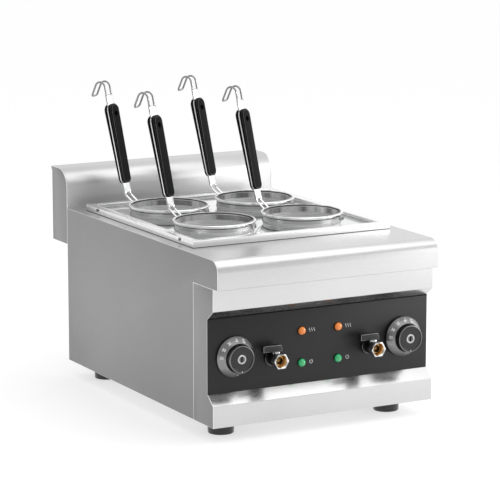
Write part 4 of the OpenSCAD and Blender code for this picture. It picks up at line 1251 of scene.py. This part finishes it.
class COOKER_OT_inside(bpy.types.Operator):
    """Finishes of the parts that stay as they are"""

    bl_idname = "cooker.inside"
    bl_label = "Inside"

    def execute(self, context):
        plain = {
            "steel_across": ["back_panel", "base_plate", "drain_pipes"],
            "dark_steel": ["foot_bolts"],
            "pale": ["lamp_bodies", "terminal_block"],
            "copper": ["thermostat_bulbs"],
            "chrome": ["valve_nuts"],
            "plastic": ["cable_gland"],
        }
        for side in SIDES:
            plain["steel_across"] += [f"well_{side}", f"false_bottom_{side}"]
            plain["dark_steel"].append(f"element_{side}")
            plain["pale"].append(f"thermostat_{side}")
        for name, nodes in plain.items():
            for node in nodes:
                dress(node, name)
        return {"FINISHED"}


# Studio lamps: name, place, aim, width in metres, power in watts.
LAMPS = (
    ("front", (1.2, -1.15, 0.4), (0.15, -0.29, 0.05), 0.8, 3.8),
    ("right", (1.6, -0.2, 0.7), (0, 0, 0.45), 1.0, 4.0),
    ("top", (0.28, -0.5, 1.6), (0.2, -0.3, 0.2), 1.6, 9.0),
    ("spark", (1.7, -1.0, 1.0), (0, -0.3, 0.15), 0.14, 5.0),
)
CAMERA_PLACE = (-1.9771, -3.6783, 1.0331)
CAMERA_DIP, CAMERA_PAN = 10.737, -28.537
CAMERA_LENS = 183.44
FLOOR_HALF, FLOOR_GREY, FLOOR_GLOW = 30, 0.54, 0.57
WORLD_STRENGTH = 1.08


class COOKER_OT_stage(bpy.types.Operator):
    """Pale floor, soft studio light and the camera"""

    bl_idname = "cooker.stage"
    bl_label = "Stage"

    def execute(self, context):
        scene = context.scene
        scene.view_settings.view_transform = "Standard"
        bm = bmesh.new()
        bmesh.ops.create_grid(bm, x_segments=1, y_segments=1, size=FLOOR_HALF)
        floor = in_scene("floor", as_mesh(bm, "floor"))
        floor.data.materials.append(self.floor_finish())
        self.light_world(scene)
        for name, place, aim, width, power in LAMPS:
            data = bpy.data.lights.new(name, "AREA")
            data.size = width
            data.energy = power
            lamp = in_scene(name, data)
            lamp.location = place
            lamp.rotation_euler = (Vector(aim) - Vector(place)).to_track_quat("-Z", "Y").to_euler()
            lamp.visible_camera = False
        data = bpy.data.cameras.new("camera")
        data.sensor_width = 36.0
        data.lens = CAMERA_LENS
        data.clip_end = 100.0
        camera = in_scene("camera", data)
        camera.location = CAMERA_PLACE
        camera.rotation_euler = (math.radians(90 - CAMERA_DIP), 0, math.radians(CAMERA_PAN))
        scene.camera = camera
        return {"FINISHED"}

    def floor_finish(self):
        """White floor that keeps the object's shadow."""
        made, tree, shader = base_shader("floor", (FLOOR_GREY, FLOOR_GREY, FLOOR_GREY), 0.0, 0.9)
        rays = tree.nodes.new("ShaderNodeLightPath").outputs
        seen = combined(tree, "MAXIMUM", rays["Is Glossy Ray"], rays["Is Transmission Ray"])
        shown = combined(tree, "MAXIMUM", rays["Is Camera Ray"], seen)
        glow = combined(tree, "MULTIPLY", shown, FLOOR_GLOW)
        set_sockets(shader, {"Specular IOR Level": 0.0, "Emission Color": (1, 1, 1, 1)})
        tree.links.new(glow, shader.inputs["Emission Strength"])
        return made

    def light_world(self, scene):
        """Soft pale surround, brighter at the back and darker on the left."""
        world = bpy.data.worlds.new("studio")
        world.use_nodes = True
        scene.world = world
        tree = world.node_tree
        place = tree.nodes.new("ShaderNodeTexCoord")
        split = tree.nodes.new("ShaderNodeSeparateXYZ")
        tree.links.new(place.outputs["Generated"], split.inputs["Vector"])
        depth = ranged(tree, split.outputs["Y"], -0.6, 0.6, 0.7, 1.0)
        width = ranged(tree, split.outputs["X"], -1.0, 0.6, 0.6, 1.0)
        surround = tree.nodes["Background"]
        tree.links.new(combined(tree, "MULTIPLY", depth, width), surround.inputs["Color"])
        set_sockets(surround, {"Strength": WORLD_STRENGTH})


PIECES = (
    COOKER_OT_casing, COOKER_OT_fascia, COOKER_OT_panel_marks, COOKER_OT_splashback, COOKER_OT_tray,
    COOKER_OT_baskets, COOKER_OT_dials, COOKER_OT_lamps, COOKER_OT_valves, COOKER_OT_feet,
    COOKER_OT_inside, COOKER_OT_stage,
)


class COOKER_PT_panel(bpy.types.Panel):
    """Lists the cooker's pieces and settings"""

    bl_idname = "COOKER_PT_panel"
    bl_label = "Pasta Cooker"
    bl_space_type = "VIEW_3D"
    bl_region_type = "UI"
    bl_category = "Cooker"

    def draw(self, context):
        for operator in PIECES:
            self.layout.operator(operator.bl_idname)
        for group in (context.scene.cooker_sizes, context.scene.cooker_colours):
            box = self.layout.box()
            for name in group.__annotations__:
                box.prop(group, name)


CLASSES = (CookerSizes, CookerColours, *PIECES, COOKER_PT_panel)


def register():
    """Registers the classes and the scene's settings."""
    for item in CLASSES:
        bpy.utils.register_class(item)
    bpy.types.Scene.cooker_sizes = PointerProperty(type=CookerSizes)
    bpy.types.Scene.cooker_colours = PointerProperty(type=CookerColours)


def unregister():
    """Removes the settings and the classes."""
    del bpy.types.Scene.cooker_sizes
    del bpy.types.Scene.cooker_colours
    for item in reversed(CLASSES):
        bpy.utils.unregister_class(item)


def main():
    """Makes every piece in order."""
    register()
    for operator in PIECES:
        group, name = operator.bl_idname.split(".")
        getattr(getattr(bpy.ops, group), name)()


if __name__ == "__main__":
    main()
